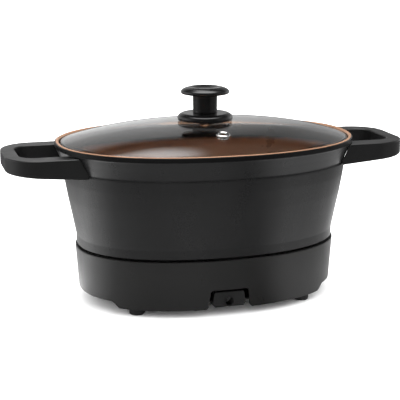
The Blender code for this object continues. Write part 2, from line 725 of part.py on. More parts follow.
# ---- Cord gland and wiring ------------------------------------------------------------------
def make_gland(body):
    front, back = GLAND_Y
    chamfer = 0.0030
    half = [(GLAND_HALF_TOP - 0.001, GLAND_TOP_Z), (GLAND_HALF_TOP, GLAND_TOP_Z - 0.001),
            (GLAND_HALF_BOTTOM, GLAND_BOTTOM_Z + chamfer), (GLAND_HALF_BOTTOM - chamfer,
                                                          GLAND_BOTTOM_Z)]
    gland = prism("cord_gland", [mirrored(half)], back - front, BLACK_PLASTIC, upright=True,
                  middle=(front + back) / 2)
    exit_hole = cylinder("cord_exit", (0, (front + back) / 2, CORD_Z), CORD_R, 0.040, None, axis="Y")
    add_boolean(gland, "DIFFERENCE", exit_hole)
    clamp = box("cord_clamp", (0, back + 0.0062, 0.0225), (0.026, 0.0070, 0.0090), BLACK_PLASTIC,
                bevel=0.0010)
    groove = cylinder("clamp_groove", (0, back + 0.0062, 0.0172), CORD_R - 0.0008, 0.020, None,
                      axis="Y")
    add_boolean(clamp, "DIFFERENCE", groove)
    attach(body, gland, clamp)


def make_terminal_block(body):
    z = COVER_Z + COVER_THICKNESS + GAP + 0.0055
    block = box("terminal_block", (0, -0.0605, z), (0.030, 0.0140, 0.0110), CERAMIC, bevel=0.0008)
    for k in (-1, 0, 1):
        bore = cylinder(f"terminal_bore_{k + 1}", (0.009 * k, -0.0605, z), 0.0022, 0.030, None,
                        axis="Y", steps=12)
        add_boolean(block, "DIFFERENCE", bore)
    attach(body, block)


def make_wires(body):
    """Leads from the terminals to the switch, from the switch to the element, and back."""
    z = COVER_Z + COVER_THICKNESS + GAP + 0.0055
    radius = 0.0011
    side = ELEMENT_TAIL_X
    routes = {
        "wire_live": ([(-0.009, -0.054, z), (-0.020, -0.030, 0.0235), (-0.022, 0.030, 0.0235),
                       (-0.012, 0.066, 0.0270), (-0.006, 0.0755, 0.0290)], WIRE_BROWN),
        "wire_return": ([(0.006, 0.0755, 0.0290), (0.020, 0.060, 0.0260), (0.034, 0.005, 0.0240),
                         (0.024, -0.020, 0.0260), (side, -0.0265, 0.0300),
                         (side, -0.0265, 0.0395)], WIRE_RED),
        "wire_neutral": ([(0.009, -0.054, z), (0.010, -0.046, 0.0240), (-0.004, -0.034, 0.0250),
                          (-side, -0.0265, 0.0300), (-side, -0.0265, 0.0395)], WIRE_BLUE),
    }
    for name, (knots, finish) in routes.items():
        attach(body, tube(name, smooth_path(knots, 3), radius, finish))


# ---- Heating plate and its sensor -----------------------------------------------------------
def make_heating_plate(body):
    low = PLATE_TOP_Z - PLATE_THICKNESS
    profile = [(PLATE_INSET + 0.0005, low), (PLATE_INSET, low + 0.001),
               (PLATE_INSET, PLATE_TOP_Z - 0.001), (PLATE_INSET + 0.001, PLATE_TOP_Z)]
    plate = oval_loft("heating_plate", profile, ALUMINIUM)
    bore = cylinder("plate_bore", (0, 0, PLATE_TOP_Z), PLATE_BORE_R, 0.040, None, steps=24)
    add_boolean(plate, "DIFFERENCE", bore)
    attach(body, plate)


def make_element(body):
    """Sheathed loop under the plate, open at the rear, where both ends turn to the middle."""
    z = PLATE_TOP_Z - PLATE_THICKNESS - GAP - ELEMENT_R
    bend = 0.0080
    first = math.radians(-90 + 20)
    last = math.radians(270 - 20)
    steps = 34
    loop = [oval_frame(first + (last - first) * k / steps, ELEMENT_INSET)[0]
            for k in range(steps + 1)]
    start = loop[0]
    tail = [(ELEMENT_TAIL_X, -0.0300), (ELEMENT_TAIL_X, start.y + bend),
            (ELEMENT_TAIL_X + 0.3 * bend, start.y + 0.3 * bend), (start.x - 0.2 * bend, start.y)]
    path = [(x, y, z) for x, y in tail] + [(p.x, p.y, z) for p in loop]
    path += [(-x, y, z) for x, y in reversed(tail)]
    attach(body, tube("heating_element", path, ELEMENT_R, STEEL))


def make_reflector(body):
    """Shallow steel tray that throws the element's heat up."""
    rim_z = 0.0375
    profile = [(REFLECTOR_INSET, rim_z), (REFLECTOR_INSET + SHEET, rim_z),
               (REFLECTOR_INSET + 0.004 + SHEET, REFLECTOR_Z + SHEET),
               (0.0700, REFLECTOR_Z + SHEET)]
    under = [(0.0700, REFLECTOR_Z), (REFLECTOR_INSET + 0.004, REFLECTOR_Z)]
    reflector = oval_loft("heat_reflector", profile + under, STEEL, ring=True)
    attach(body, reflector)


def make_posts(body):
    """Spacers between the cover and the heating plate."""
    low = COVER_Z + COVER_THICKNESS + GAP
    high = PLATE_TOP_Z - PLATE_THICKNESS - GAP
    for number, (x, y) in enumerate(POST_PLACES, start=1):
        post = cylinder(f"plate_post_{number}", (x, y, (low + high) / 2), 0.0040, high - low,
                        STEEL, steps=12)
        attach(body, post)


def make_sensor(base, sensor):
    """Spring-loaded temperature sensor in the middle of the plate, pressed down by the pot."""
    flange_z = PLATE_TOP_Z - PLATE_THICKNESS - GAP
    floor_z = 0.0310
    inner_r = 0.0129
    outer_r = 0.0141
    holder = [(0.0200, flange_z), (0.0200, flange_z - 0.0012), (outer_r, flange_z - 0.0012),
              (outer_r, floor_z), (0.0030, floor_z), (0.0030, floor_z + 0.0010),
              (inner_r, floor_z + 0.0010), (inner_r, flange_z)]
    cap_low = 0.0385
    cap_r = 0.0125
    cap = [(0, PLATE_TOP_Z), (cap_r - 0.0008, PLATE_TOP_Z), (cap_r, PLATE_TOP_Z - 0.0008),
           (cap_r, cap_low), (cap_r - 0.0012, cap_low), (cap_r - 0.0012, PLATE_TOP_Z - 0.0020),
           (0, PLATE_TOP_Z - 0.0020)]
    attach(base, turned("sensor_holder", holder, STEEL, steps=18, ring=True))
    attach(sensor, turned("sensor_cap", cap, ALUMINIUM, steps=18))
    turns = 3
    per_turn = 8
    low = floor_z + 0.0010 + GAP + 0.0007
    high = PLATE_TOP_Z - 0.0020 - GAP - 0.0007
    points = []
    for k in range(turns * per_turn + 1):
        angle = 2 * math.pi * k / per_turn
        height = low + (high - low) * k / (turns * per_turn)
        points.append((0.0085 * math.cos(angle), 0.0085 * math.sin(angle), height))
    attach(base, tube("sensor_spring", points, 0.0006, STEEL))


def make_fuse(body):
    """One-shot thermal fuse under the reflector's rim."""
    attach(body, cylinder("thermal_fuse", (0.045, -0.022, 0.0290), 0.0020, 0.0130, CERAMIC,
                          axis="X", steps=12))


# ---- Selector and lamp ----------------------------------------------------------------------
def make_switch(body):
    back_y = 0.0785
    front_y = 0.0960
    middle = (back_y + front_y) / 2
    switch = box("selector_switch", (0, middle, SELECTOR_Z), (0.0280, front_y - back_y, 0.0240),
                 BLACK_PLASTIC, bevel=0.0008)
    bore = cylinder("switch_bore", (0, front_y, SELECTOR_Z), SPINDLE_R + GAP, 0.020, None, axis="Y")
    add_boolean(switch, "DIFFERENCE", bore)
    attach(body, switch)


def make_selector(body):
    """Pointer knob pressed on a round spindle, turned about Y."""
    face = SELECTOR_FACE_Y + GAP
    depth = 0.0155
    knob_r = SELECTOR_R
    bore_r = SPINDLE_R + GAP
    bore_depth = 0.0100
    profile = [(0, depth - 0.0030), (knob_r - 0.0040, depth - 0.0030),
               (knob_r - 0.0026, depth - 0.0040), (knob_r - 0.0008, 0.0025), (knob_r, 0.0012),
               (knob_r, 0), (bore_r, 0), (bore_r, bore_depth), (0, bore_depth)]
    knob = turned("selector_knob", profile, BLACK_PLASTIC)
    knob.rotation_euler = (-math.pi / 2, 0, 0)
    knob.location = (0, face, SELECTOR_Z)
    ridge = box("knob_ridge", (0, face + depth - 0.0025, SELECTOR_Z), (0.0290, 0.0050, 0.0070), None,
                bevel=0.0012)
    add_boolean(knob, "UNION", ridge)
    spindle_back = 0.0875
    spindle_front = face + bore_depth - GAP
    spindle = cylinder("selector_spindle", (0, (spindle_back + spindle_front) / 2, SELECTOR_Z),
                       SPINDLE_R, spindle_front - spindle_back, STEEL, axis="Y")
    attach(body, knob, spindle)


def make_lamp(body):
    place, normal = lamp_frame()
    turn = math.atan2(normal.y, normal.x) + math.pi / 2
    lens_profile = [(0, 0.0012), (0.0016, 0.0009), (LENS_R, 0), (LENS_R, -0.0052), (0, -0.0052)]
    lens = turned("indicator_lens", lens_profile, AMBER, steps=SMALL_STEPS)
    lens.rotation_euler = (math.pi / 2, 0, turn)
    lens.location = place
    lamp_profile = [(0, 0.0040), (0.0015, 0.0034), (0.0022, 0.0020), (0.0022, -0.0060),
                    (0, -0.0060)]
    lamp = turned("neon_lamp", lamp_profile, GLASS, steps=12)
    lamp.rotation_euler = (math.pi / 2, 0, turn)
    lamp.location = place - 0.0096 * normal
    attach(body, lens, lamp)


# ---- Assembly -------------------------------------------------------------------------------
def make_slow_cooker():
    base = add_body("base")
    pot = add_body("pot")
    lid = add_body("lid")
    selector = add_body("selector", (0, SELECTOR_FACE_Y, SELECTOR_Z))
    sensor = add_body("sensor", (0, 0, PLATE_TOP_Z))
    make_pot(pot)
    make_handles(pot)
    make_handle_screws(pot)
    make_glass(lid)
    make_vent(lid)
    make_lid_knob(lid)
    make_base_shell(base)
    make_base_deck(base)
    make_cover(base)
    make_cover_screws(base)
    make_feet(base)
    make_gland(base)
    make_terminal_block(base)
    make_wires(base)
    make_heating_plate(base)
    make_element(base)
    make_reflector(base)
    make_posts(base)
    make_sensor(base, sensor)
    make_fuse(base)
    make_switch(base)
    make_selector(selector)
    make_lamp(base)


make_slow_cooker()
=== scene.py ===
"""Looks of the oval slow cooker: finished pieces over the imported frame, a pale floor and soft light.

Metres, +Z up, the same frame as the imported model.  The cord gland faces -Y and the selector +Y.
Oval pieces are lofts: an inset (distance in from the pot's rim outline) and a height place any
point of them.  Profiles are lists of (inset or radius, z, corner radius).
"""
import math

import bmesh
import bpy
from mathutils import Matrix, Vector


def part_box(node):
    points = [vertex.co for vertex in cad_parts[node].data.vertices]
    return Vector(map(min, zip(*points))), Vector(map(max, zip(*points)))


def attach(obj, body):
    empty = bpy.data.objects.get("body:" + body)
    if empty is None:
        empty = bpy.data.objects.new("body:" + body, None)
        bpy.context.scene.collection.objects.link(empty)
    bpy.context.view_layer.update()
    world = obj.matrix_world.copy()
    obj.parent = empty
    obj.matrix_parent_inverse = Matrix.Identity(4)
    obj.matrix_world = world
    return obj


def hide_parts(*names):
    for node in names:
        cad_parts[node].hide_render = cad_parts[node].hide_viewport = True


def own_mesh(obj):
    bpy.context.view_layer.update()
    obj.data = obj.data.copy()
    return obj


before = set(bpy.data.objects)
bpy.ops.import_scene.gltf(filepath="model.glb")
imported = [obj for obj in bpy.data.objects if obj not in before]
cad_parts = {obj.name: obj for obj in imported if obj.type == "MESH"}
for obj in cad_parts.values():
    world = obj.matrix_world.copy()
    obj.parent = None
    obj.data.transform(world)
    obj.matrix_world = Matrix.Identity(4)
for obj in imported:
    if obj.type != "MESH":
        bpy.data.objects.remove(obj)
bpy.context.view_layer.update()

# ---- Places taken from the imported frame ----
BASE_TOP_INSET = 0.0203
CONTACT_INSET = 0.0400
POT_LOW, POT_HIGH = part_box("pot_body")
SHELL_LOW, SHELL_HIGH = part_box("base_shell")
RIM_Z = POT_HIGH.z
POT_BOTTOM_Z = POT_LOW.z
BASE_TOP_Z = SHELL_HIGH.z
BASE_BOTTOM_Z = SHELL_LOW.z
HANDLE_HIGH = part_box("handle_right")[1]
HANDLE_TOP_Z = HANDLE_HIGH.z
HANDLE_END_X = HANDLE_HIGH.x
HANDLE_HALF_Y = HANDLE_HIGH.y
GLASS_LOW, GLASS_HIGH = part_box("lid_glass")
LID_BOTTOM_Z = GLASS_LOW.z
FLANGE_LOW, FLANGE_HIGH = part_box("knob_flange")
KNOB_TOP_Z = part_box("lid_knob")[1].z
VENT_LOW, VENT_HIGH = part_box("steam_vent")
GLAND_LOW, GLAND_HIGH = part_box("cord_gland")
PLATE_LOW, PLATE_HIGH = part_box("heating_plate")
CONTACT_LOW, CONTACT_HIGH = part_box("pot_contact_plate")
RIM_A = CONTACT_HIGH.x + CONTACT_INSET
RIM_B = POT_HIGH.y
DECK_LOW, DECK_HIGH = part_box("base_deck")
COVER_LOW, COVER_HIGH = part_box("bottom_cover")
SELECTOR_LOW, SELECTOR_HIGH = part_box("selector_knob")
LENS_LOW, LENS_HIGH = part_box("indicator_lens")

# ---- Shape ----
SQUARENESS = 2.19          # superellipse exponent of the rim outline
OVAL_STEPS = 224
GAP = 0.0003

POT_OUTSIDE = [(0.0290, POT_BOTTOM_Z, 0.0008), (0.0268, 0.0665, 0.0004), (0.0219, 0.0665, 0.0007),
               (0.0217, 0.0765, 0.0060), (0.0212, 0.0790, 0.0060), (0.0172, 0.1000, 0.05),
               (0.0132, 0.1200, 0.05), (0.0099, 0.1400, 0.05), (0.0082, 0.1530, 0.0006),
               (0.0085, 0.1543, 0.0004), (0.0093, 0.1545, 0.0004), (0.0092, 0.1558, 0.0012),
               (0.0050, 0.1660, 0.05), (0.0009, 0.1750, 0.0008), (0.0001, 0.1761, 0.0006),
               (0.0010, 0.1808, 0.0006), (0.0014, RIM_Z - 0.0005, 0)]
RIM_BAND = [(0.0030, 0.1764, 0), (-0.0002, 0.1764, 0.0005), (0.0002, 0.1813, 0.0007),
            (0.0030, 0.1813, 0)]
LEDGE_Z = 0.1776
POT_INSIDE = [(0.0013, RIM_Z - 0.0009, 0), (0.0016, RIM_Z, 0.0006), (0.0040, RIM_Z, 0.0009),
              (0.0050, RIM_Z - 0.0022, 0.0008), (0.0050, LEDGE_Z, 0.0004),
              (0.0102, LEDGE_Z, 0.0006), (0.0113, 0.1545, 0.02), (0.0252, 0.0785, 0.012),
              (0.0320, 0.0617, 0.008), (0.0450, 0.0600, 0.01)]

LID_INSET = 0.0062
LID_TOP_Z = 0.1808
LID_RISE = GLASS_HIGH.z - LID_TOP_Z
LID_INNER_RISE = 0.0192
LID_CROWN = 2.45

HANDLE_CORNER_R = 0.037
HANDLE_ROOT_X = 0.135
HANDLE_SEAM = 0.0009
SPRING_WIRE_R = 0.0006
SPRING_TURNS = 3
FINGER_GAP_END_X = 0.213
FINGER_GAP_HALF_Y = 0.036
FINGER_GAP_CORNER_R = 0.017
HANDLE_EDGE_R = 0.0015
HANDLE_UNDER_X = 0.155     # where the sloping underside is at HANDLE_UNDER_Z
HANDLE_UNDER_Z = 0.1520
HANDLE_UNDER_SLOPE = 0.0060 / 0.0735
BORE_R = 0.0046
BORE_Z = (0.145, 0.1575)
LUG_ANGLES = [math.radians(a) for a in (-20, 20, 160, 200)]
LUG_SCREW_INSET = -0.0045
SHADE_BAND_LOW = (0.1605, 0.1650)      # heights where the lining's painted shade band fades in and out: the upper inner wall and the ledge darkened as if in shade
SHADE_BAND_HIGH = (0.1800, 0.1808)

BASE_BOTTOM_INSET = 0.0241
BASE_WALL = 0.0024
BASE_MOUTH_INSET = 0.0255
HANDHOLD_X = (0.1145, 0.1235)
HANDHOLD_RISE = 0.0070
NOTCH_HALF_TOP = 0.0215
NOTCH_HALF_BOTTOM = 0.0235
NOTCH_TOP_Z = 0.0300
NOTCH_CORNER_R = 0.0035
CORD_R = 0.0050
CORD_Z = 0.0162
KNOB_Z = 0.0360
KNOB_FACE_Y = 0.1030
KNOB_BOSS_HEIGHT = 0.0056
LAMP_ANGLE = math.radians(73)
COVER_INSET = 0.0275
COVER_SCREW_INSET = 0.0305
COVER_SCREW_ANGLES = [math.radians(a) for a in (25, 155, 205, 335)]


# ---- Outlines and profiles ----
def oval_frame(angle, inset=0.0):
    """Point on the rim outline moved in by inset, and the outward normal there."""
    cosine, sine = math.cos(angle), math.sin(angle)
    x = math.copysign(RIM_A * abs(cosine) ** (2 / SQUARENESS), cosine)
    y = math.copysign(RIM_B * abs(sine) ** (2 / SQUARENESS), sine)
    slope_x = math.copysign((abs(x) / RIM_A) ** (SQUARENESS - 1) / RIM_A, x)
    slope_y = math.copysign((abs(y) / RIM_B) ** (SQUARENESS - 1) / RIM_B, y)
    normal = Vector((slope_x, slope_y, 0)).normalized()
    return Vector((x, y, 0)) - inset * normal, normal


def turn_angles(steps):
    return [2 * math.pi * i / steps for i in range(steps)]


def arc(centre_u, centre_v, radius, start, end, steps):
    angles = [math.radians(start + (end - start) * i / steps) for i in range(steps + 1)]
    return [(centre_u + radius * math.cos(a), centre_v + radius * math.sin(a)) for a in angles]


def rounded(profile, steps=5, closed=False):
    """Round the corners of a profile of (u, z, corner radius) and return plain (u, z) points."""
    points = [Vector(p[:2]) for p in profile]
    out = []
    for i, (here, corner) in enumerate(zip(points, profile)):
        ends = not closed and i in (0, len(points) - 1)
        if ends or not corner[2]:
            out.append(tuple(here))
            continue
        before = points[i - 1] - here
        after = points[(i + 1) % len(points)] - here
        turn = before.angle(after)
        reach = min(corner[2] / math.tan(turn / 2), 0.45 * before.length, 0.45 * after.length)
        start = here + before.normalized() * reach
        end = here + after.normalized() * reach
        for k in range(steps + 1):
            t = k / steps
            out.append(tuple((1 - t) ** 2 * start + 2 * t * (1 - t) * here + t ** 2 * end))
    return out


# ---- Mesh tools ----
def as_object(name, bm):
    mesh = bpy.data.meshes.new(name)
    bm.to_mesh(mesh)
    bm.free()
    obj = bpy.data.objects.new(name, mesh)
    bpy.context.scene.collection.objects.link(obj)
    return obj


def finish_mesh(name, bm, angle=32.0, flat_weight=True):
    """Make an object from the bmesh: smooth, sharp above an angle, flat faces kept flat."""
    bmesh.ops.recalc_face_normals(bm, faces=bm.faces)
    obj = as_object(name, bm)
    shade(obj, angle, flat_weight)
    return obj


def shade(obj, angle=32.0, flat_weight=True):
    obj.data.polygons.foreach_set("use_smooth", [True] * len(obj.data.polygons))
    obj.data.set_sharp_from_angle(angle=math.radians(angle))
    if flat_weight and not any(m.type == "WEIGHTED_NORMAL" for m in obj.modifiers):
        weighted = obj.modifiers.new("flat_faces", "WEIGHTED_NORMAL")
        weighted.keep_sharp = True
        weighted.weight = 50


def bridge(bm, lower, upper):
    """Faces between two loops of vertices; either may be a single vertex."""
    count = max(len(lower), len(upper))
    for i in range(count):
        j = (i + 1) % count
        if len(lower) == 1:
            bm.faces.new((lower[0], upper[i], upper[j]))
        elif len(upper) == 1:
            bm.faces.new((upper[0], lower[i], lower[j]))
        else:
            bm.faces.new((lower[i], lower[j], upper[j], upper[i]))


def skin(bm, loops, ring=False, capped=False):
    """Faces between successive loops, and from the last to the first or over both ends."""
    for lower, upper in list(zip(loops, loops[1:])) + ([(loops[-1], loops[0])] if ring else []):
        bridge(bm, lower, upper)
    if capped:
        bm.faces.new(loops[0])
        bm.faces.new(loops[-1])


def oval_loops(bm, profile, steps=OVAL_STEPS):
    angles = turn_angles(steps)
    return [[bm.verts.new((*oval_frame(a, inset)[0].xy, z)) for a in angles]
            for inset, z in profile]


def loft(name, profile, ring=False, steps=OVAL_STEPS):
    """Solid through oval sections (inset, z): capped, or closed on itself as a ring."""
    bm = bmesh.new()
    skin(bm, oval_loops(bm, profile, steps), ring, capped=not ring)
    return finish_mesh(name, bm)


def turned(name, profile, steps=96, corner_steps=0, ring=False, angle=32.0):
    """Turn a profile about Z: plain (r, z) points, or (r, z, corner radius) with corner_steps."""
    if corner_steps:
        profile = rounded(profile, corner_steps, closed=ring)
    bm = bmesh.new()
    loops = [[bm.verts.new((x, y, z)) for x, y in (circle(0, 0, r, steps) if r > 1e-6 else [(0, 0)])]
             for r, z in profile]
    skin(bm, loops, ring)
    return finish_mesh(name, bm, angle)


def outline_normals(points):
    """Outward normals of an anticlockwise outline, stretched so that offsets keep their distance."""
    count = len(points)
    normals = []
    for i in range(count):
        here = Vector(points[i])
        before = (here - Vector(points[i - 1])).normalized()
        after = (Vector(points[(i + 1) % count]) - here).normalized()
        middle = Vector((before.y + after.y, -before.x - after.x)).normalized()
        normals.append(middle / max(0.5, middle.dot(Vector((before.y, -before.x)))))
    return normals


def plate(name, outer, holes, low, high, edge_r, steps=4):
    """Flat solid with rounded edges.  low and high are numbers or functions of (x, y)."""
    bm = bmesh.new()
    low_at = low if callable(low) else lambda x, y: low
    high_at = high if callable(high) else lambda x, y: high
    levels = []
    for k in range(steps + 1):
        turn = math.radians(90 * k / steps)
        levels.append((edge_r * (1 - math.sin(turn)), edge_r * (1 - math.cos(turn)), True))
    levels += [(inset, drop, False) for inset, drop, _ in reversed(levels)]
    caps = ([], [])
    for outline, sign in [(outer, 1)] + [(hole, -1) for hole in holes]:
        normals = outline_normals(outline)
        loops = []
        for inset, drop, upper in levels:
            loop = []
            for point, normal in zip(outline, normals):
                x, y = Vector(point) - sign * inset * normal
                z = high_at(x, y) - drop if upper else low_at(x, y) + drop
                loop.append(bm.verts.new((x, y, z)))
            loops.append(loop)
        skin(bm, loops)
        caps[0].append(loops[0])
        caps[1].append(loops[-1])
    for side in caps:
        edges = [bm.edges.get((loop[i], loop[(i + 1) % len(loop)]))
                 for loop in side for i in range(len(loop))]
        bmesh.ops.triangle_fill(bm, use_beauty=True, edges=edges)
    bmesh.ops.dissolve_limit(bm, angle_limit=math.radians(0.2), verts=bm.verts, edges=bm.edges,
                             delimit={"NORMAL"})
    return finish_mesh(name, bm)


def circle(x, y, radius, steps=24):
    return [(x + radius * math.cos(a), y + radius * math.sin(a)) for a in turn_angles(steps)]


def slot_outline(x, y, half_x, half_y, radius, steps=4):
    """Anticlockwise rectangle with rounded corners."""
    out = []
    for sx, sy, start in ((1, 1, 0), (-1, 1, 90), (-1, -1, 180), (1, -1, 270)):
        out += arc(x + sx * (half_x - radius), y + sy * (half_y - radius), radius, start,
                   start + 90, steps)
    return out


def place(obj, matrix):
    """Move the mesh itself, so that the object stays at the origin of the frame."""
    obj.data.transform(matrix)
    return obj


def cut(obj, *tools, angle=32.0):
    """Boolean the tools off the object and remove them."""
    weighted = obj.modifiers.get("flat_faces")
    if weighted:
        obj.modifiers.remove(weighted)
    for tool in tools:
        for modifier in list(tool.modifiers):
            tool.modifiers.remove(modifier)
        boolean = obj.modifiers.new(tool.name, "BOOLEAN")
        boolean.operation = "DIFFERENCE"
        boolean.solver = "EXACT"
        boolean.object = tool
    bpy.context.view_layer.update()
    graph = bpy.context.evaluated_depsgraph_get()
    mesh = bpy.data.meshes.new_from_object(obj.evaluated_get(graph))
    obj.modifiers.clear()
    obj.data = mesh
    for tool in tools:
        bpy.data.objects.remove(tool, do_unlink=True)
    shade(obj, angle)
    return obj


def join(name, *parts):
    """One object out of several meshes that all sit at the origin."""
    bm = bmesh.new()
    for part in parts:
        bm.from_mesh(part.data)
        bpy.data.objects.remove(part, do_unlink=True)
    obj = as_object(name, bm)
    shade(obj)
    return obj


def show(obj, body, slot, material, *nodes):
    """Give the piece its material and its body, and hide the CAD nodes it stands for; slot is not used.
    """
    obj.data.materials.clear()
    obj.data.materials.append(material)
    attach(obj, body)
    if nodes:
        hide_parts(*nodes)
    return obj


def facing(normal, centre):
    """Transform that takes +Z to the normal and the origin to the centre."""
    return Matrix.Translation(centre) @ Vector(normal).to_track_quat("Z", "Y").to_matrix().to_4x4()


def on_control_side(y):
    """Stands a part modelled along +Z on the selector's axis, with its foot at y."""
    return facing((0, 1, 0), Vector((0, y, KNOB_Z)))


# ---- Materials ----
class Nodes:
    """Small builder for the node tree of a material or of the world."""

    def __init__(self, holder, coords="Object"):
        holder.use_nodes = True
        self.holder = holder
        self.tree = holder.node_tree
        self.shader = self.tree.nodes.get("Principled BSDF")
        self.coords = self.add("ShaderNodeTexCoord").outputs[coords]

    def plug(self, value, socket):
        """Feed a socket with another node's output, a colour or a number."""
        if isinstance(value, bpy.types.NodeSocket):
            self.tree.links.new(value, socket)
        elif socket.type == "RGBA":
            socket.default_value = (*(value if isinstance(value, tuple) else (value,) * 3), 1.0)
        else:
            socket.default_value = value

    def add(self, kind, sockets=None, **values):
        node = self.tree.nodes.new(kind)
        for key, value in values.items():
            setattr(node, key, value)
        for key, value in (sockets or {}).items():
            self.plug(value, node.inputs[key])
        return node

    def scaled(self, scale):
        node = self.add("ShaderNodeMapping", {"Scale": scale, "Vector": self.coords})
        return node.outputs["Vector"]

    def split(self):
        return self.add("ShaderNodeSeparateXYZ", {"Vector": self.coords}).outputs

    def noise(self, scale, detail=3.0, roughness=0.55, source=None):
        sockets = {"Scale": scale, "Detail": detail, "Roughness": roughness,
                   "Vector": source or self.coords}
        return self.add("ShaderNodeTexNoise", sockets).outputs["Fac"]

    def specks(self, scale, low, high):
        """Round spots: 1 inside low and 0 outside high."""
        node = self.add("ShaderNodeTexVoronoi", {"Scale": scale, "Vector": self.coords})
        return self.remap(node.outputs["Distance"], low, high, 1.0, 0.0)

    def remap(self, value, low, high, new_low=0.0, new_high=1.0, curve="LINEAR"):
        sockets = {"Value": value, "From Min": low, "From Max": high, "To Min": new_low,
                   "To Max": new_high}
        return self.add("ShaderNodeMapRange", sockets, interpolation_type=curve).outputs["Result"]

    def math(self, operation, first, second):
        return self.add("ShaderNodeMath", {0: first, 1: second}, operation=operation).outputs["Value"]

    def vector_math(self, operation, *values):
        node = self.add("ShaderNodeVectorMath", dict(enumerate(values)), operation=operation)
        return node.outputs["Value"]

    def mix(self, factor, first, second):
        node = self.add("ShaderNodeMix", {"Factor": factor}, data_type="RGBA")
        for key, value in (("A", first), ("B", second)):
            self.plug(value, next(s for s in node.inputs if s.name == key and s.type == "RGBA"))
        return next(s for s in node.outputs if s.type == "RGBA")

    def ramp(self, value, stops):
        """Grey level that follows stops of (position, level)."""
        node = self.add("ShaderNodeValToRGB", {"Fac": value})
        elements = node.color_ramp.elements
        while len(elements) < len(stops):
            elements.new(1.0)
        for element, (position, level) in zip(elements, stops):
            element.position = position
            element.color = (level, level, level, 1.0)
        return node.outputs["Color"]

    def bump(self, height, distance, **more):
        sockets = {"Height": height, "Distance": distance, "Strength": 1.0, **more}
        return self.add("ShaderNodeBump", sockets).outputs["Normal"]

    def set(self, **values):
        for key, value in values.items():
            self.plug(value, self.shader.inputs[key.replace("_", " ")])
        return self.holder


def material_nodes(name):
    return Nodes(bpy.data.materials.new(name))


def toned(colour, factor):
    return tuple(min(1.0, c * factor) for c in colour)


def coated(name, dark, light, rough, grain, depth, specular=0.5, scuff=0.06):
    """Sprayed or moulded dark surface: cloudy tone, fine grain, rubbed patches and tiny specks."""
    n = material_nodes(name)
    cloud = n.noise(14.0, 4.0)
    fine = n.noise(grain, 2.0)
    tone = n.mix(n.remap(cloud, 0.3, 0.7), dark, light)
    speck = n.specks(grain * 0.35, 0.04, 0.10)
    tone = n.mix(n.math("MULTIPLY", speck, 0.35), tone, toned(light, 2.2))
    rubbed = n.noise(38.0, 6.0, 0.6, n.scaled((1.0, 1.0, 0.35)))
    gloss = n.math("ADD", n.remap(rubbed, 0.3, 0.7, rough - scuff, rough + scuff),
                   n.remap(fine, 0.3, 0.7, -0.03, 0.03))
    normal = n.bump(fine, depth)
    return n.set(Base_Color=tone, Roughness=gloss, Normal=normal, Specular_IOR_Level=specular)


def lining(name):
    """Copper-coloured ceramic coating: fine speckle over faint turning marks, with painted shade near
    the rim.
    """
    n = material_nodes(name)
    cloud = n.noise(9.0, 4.0)
    tone = n.mix(n.remap(cloud, 0.3, 0.7), (0.430, 0.225, 0.125), (0.500, 0.270, 0.155))
    speck = n.specks(1500.0, 0.10, 0.22)
    tone = n.mix(n.math("MULTIPLY", speck, 0.45), tone, (0.62, 0.41, 0.28))
    pit = n.remap(n.noise(900.0, 2.0), 0.62, 0.72)
    tone = n.mix(n.math("MULTIPLY", pit, 0.5), tone, (0.20, 0.09, 0.05))
    height = n.split()["Z"]
    # painted shade: a near-black band over the upper inner wall and the ledge stands in for the shade
    # under the rim
    painted_shade_band = n.math("MULTIPLY", n.remap(height, *SHADE_BAND_LOW), n.remap(height, *SHADE_BAND_HIGH, 1.0, 0.0))
    tone = n.mix(painted_shade_band, tone, (0.014, 0.012, 0.011))
    turning = n.noise(260.0, 2.0, 0.5, n.scaled((0.02, 0.02, 1.0)))
    gloss = n.remap(n.noise(30.0, 5.0), 0.3, 0.7, 0.26, 0.38)
    grain = n.bump(n.noise(700.0, 2.0), 0.00003)
    normal = n.bump(turning, 0.00002, Normal=grain)
    return n.set(Base_Color=tone, Roughness=gloss, Normal=normal, Metallic=0.4)


def metal(name, colour, rough, brush, tint=None):
    """Rolled or brushed metal: stretched scratches, soft stains and a colour drift."""
    n = material_nodes(name)
    scratches = n.noise(1.0, 3.0, 0.6, n.scaled(brush))
    stain = n.noise(22.0, 5.0, 0.6)
    tone = n.mix(n.remap(stain, 0.35, 0.7), colour, tint or toned(colour, 0.86))
    tone = n.mix(n.remap(scratches, 0.45, 0.75, 0.0, 0.25), tone, toned(colour, 0.6))
    gloss = n.math("ADD", n.remap(scratches, 0.3, 0.7, rough - 0.07, rough + 0.07),
                   n.remap(stain, 0.3, 0.7, -0.04, 0.05))
    return n.set(Base_Color=tone, Roughness=gloss, Normal=n.bump(scratches, 0.00001), Metallic=1.0)


def turned_metal(name, colour, rough, pitch):
    """Face-turned metal: fine rings that follow the oval, with dull heat stains."""
    n = material_nodes(name)
    sockets = {"Scale": 1.0 / pitch / 20.0, "Distortion": 0.6, "Detail": 3.0,
               "Vector": n.scaled((RIM_B / RIM_A, 1.0, 0.0))}
    rings = n.add("ShaderNodeTexWave", sockets, wave_type="RINGS", rings_direction="Z").outputs["Fac"]
    stain = n.noise(16.0, 6.0, 0.6)
    tone = n.mix(n.remap(stain, 0.35, 0.72), colour, toned(colour, 0.72))
    tone = n.mix(n.remap(rings, 0.0, 1.0, 0.0, 0.22), tone, toned(colour, 0.55))
    gloss = n.math("ADD", n.remap(rings, 0.0, 1.0, rough - 0.06, rough + 0.06),
                   n.remap(stain, 0.3, 0.7, -0.04, 0.07))
    return n.set(Base_Color=tone, Roughness=gloss, Normal=n.bump(rings, 0.00002), Metallic=1.0)


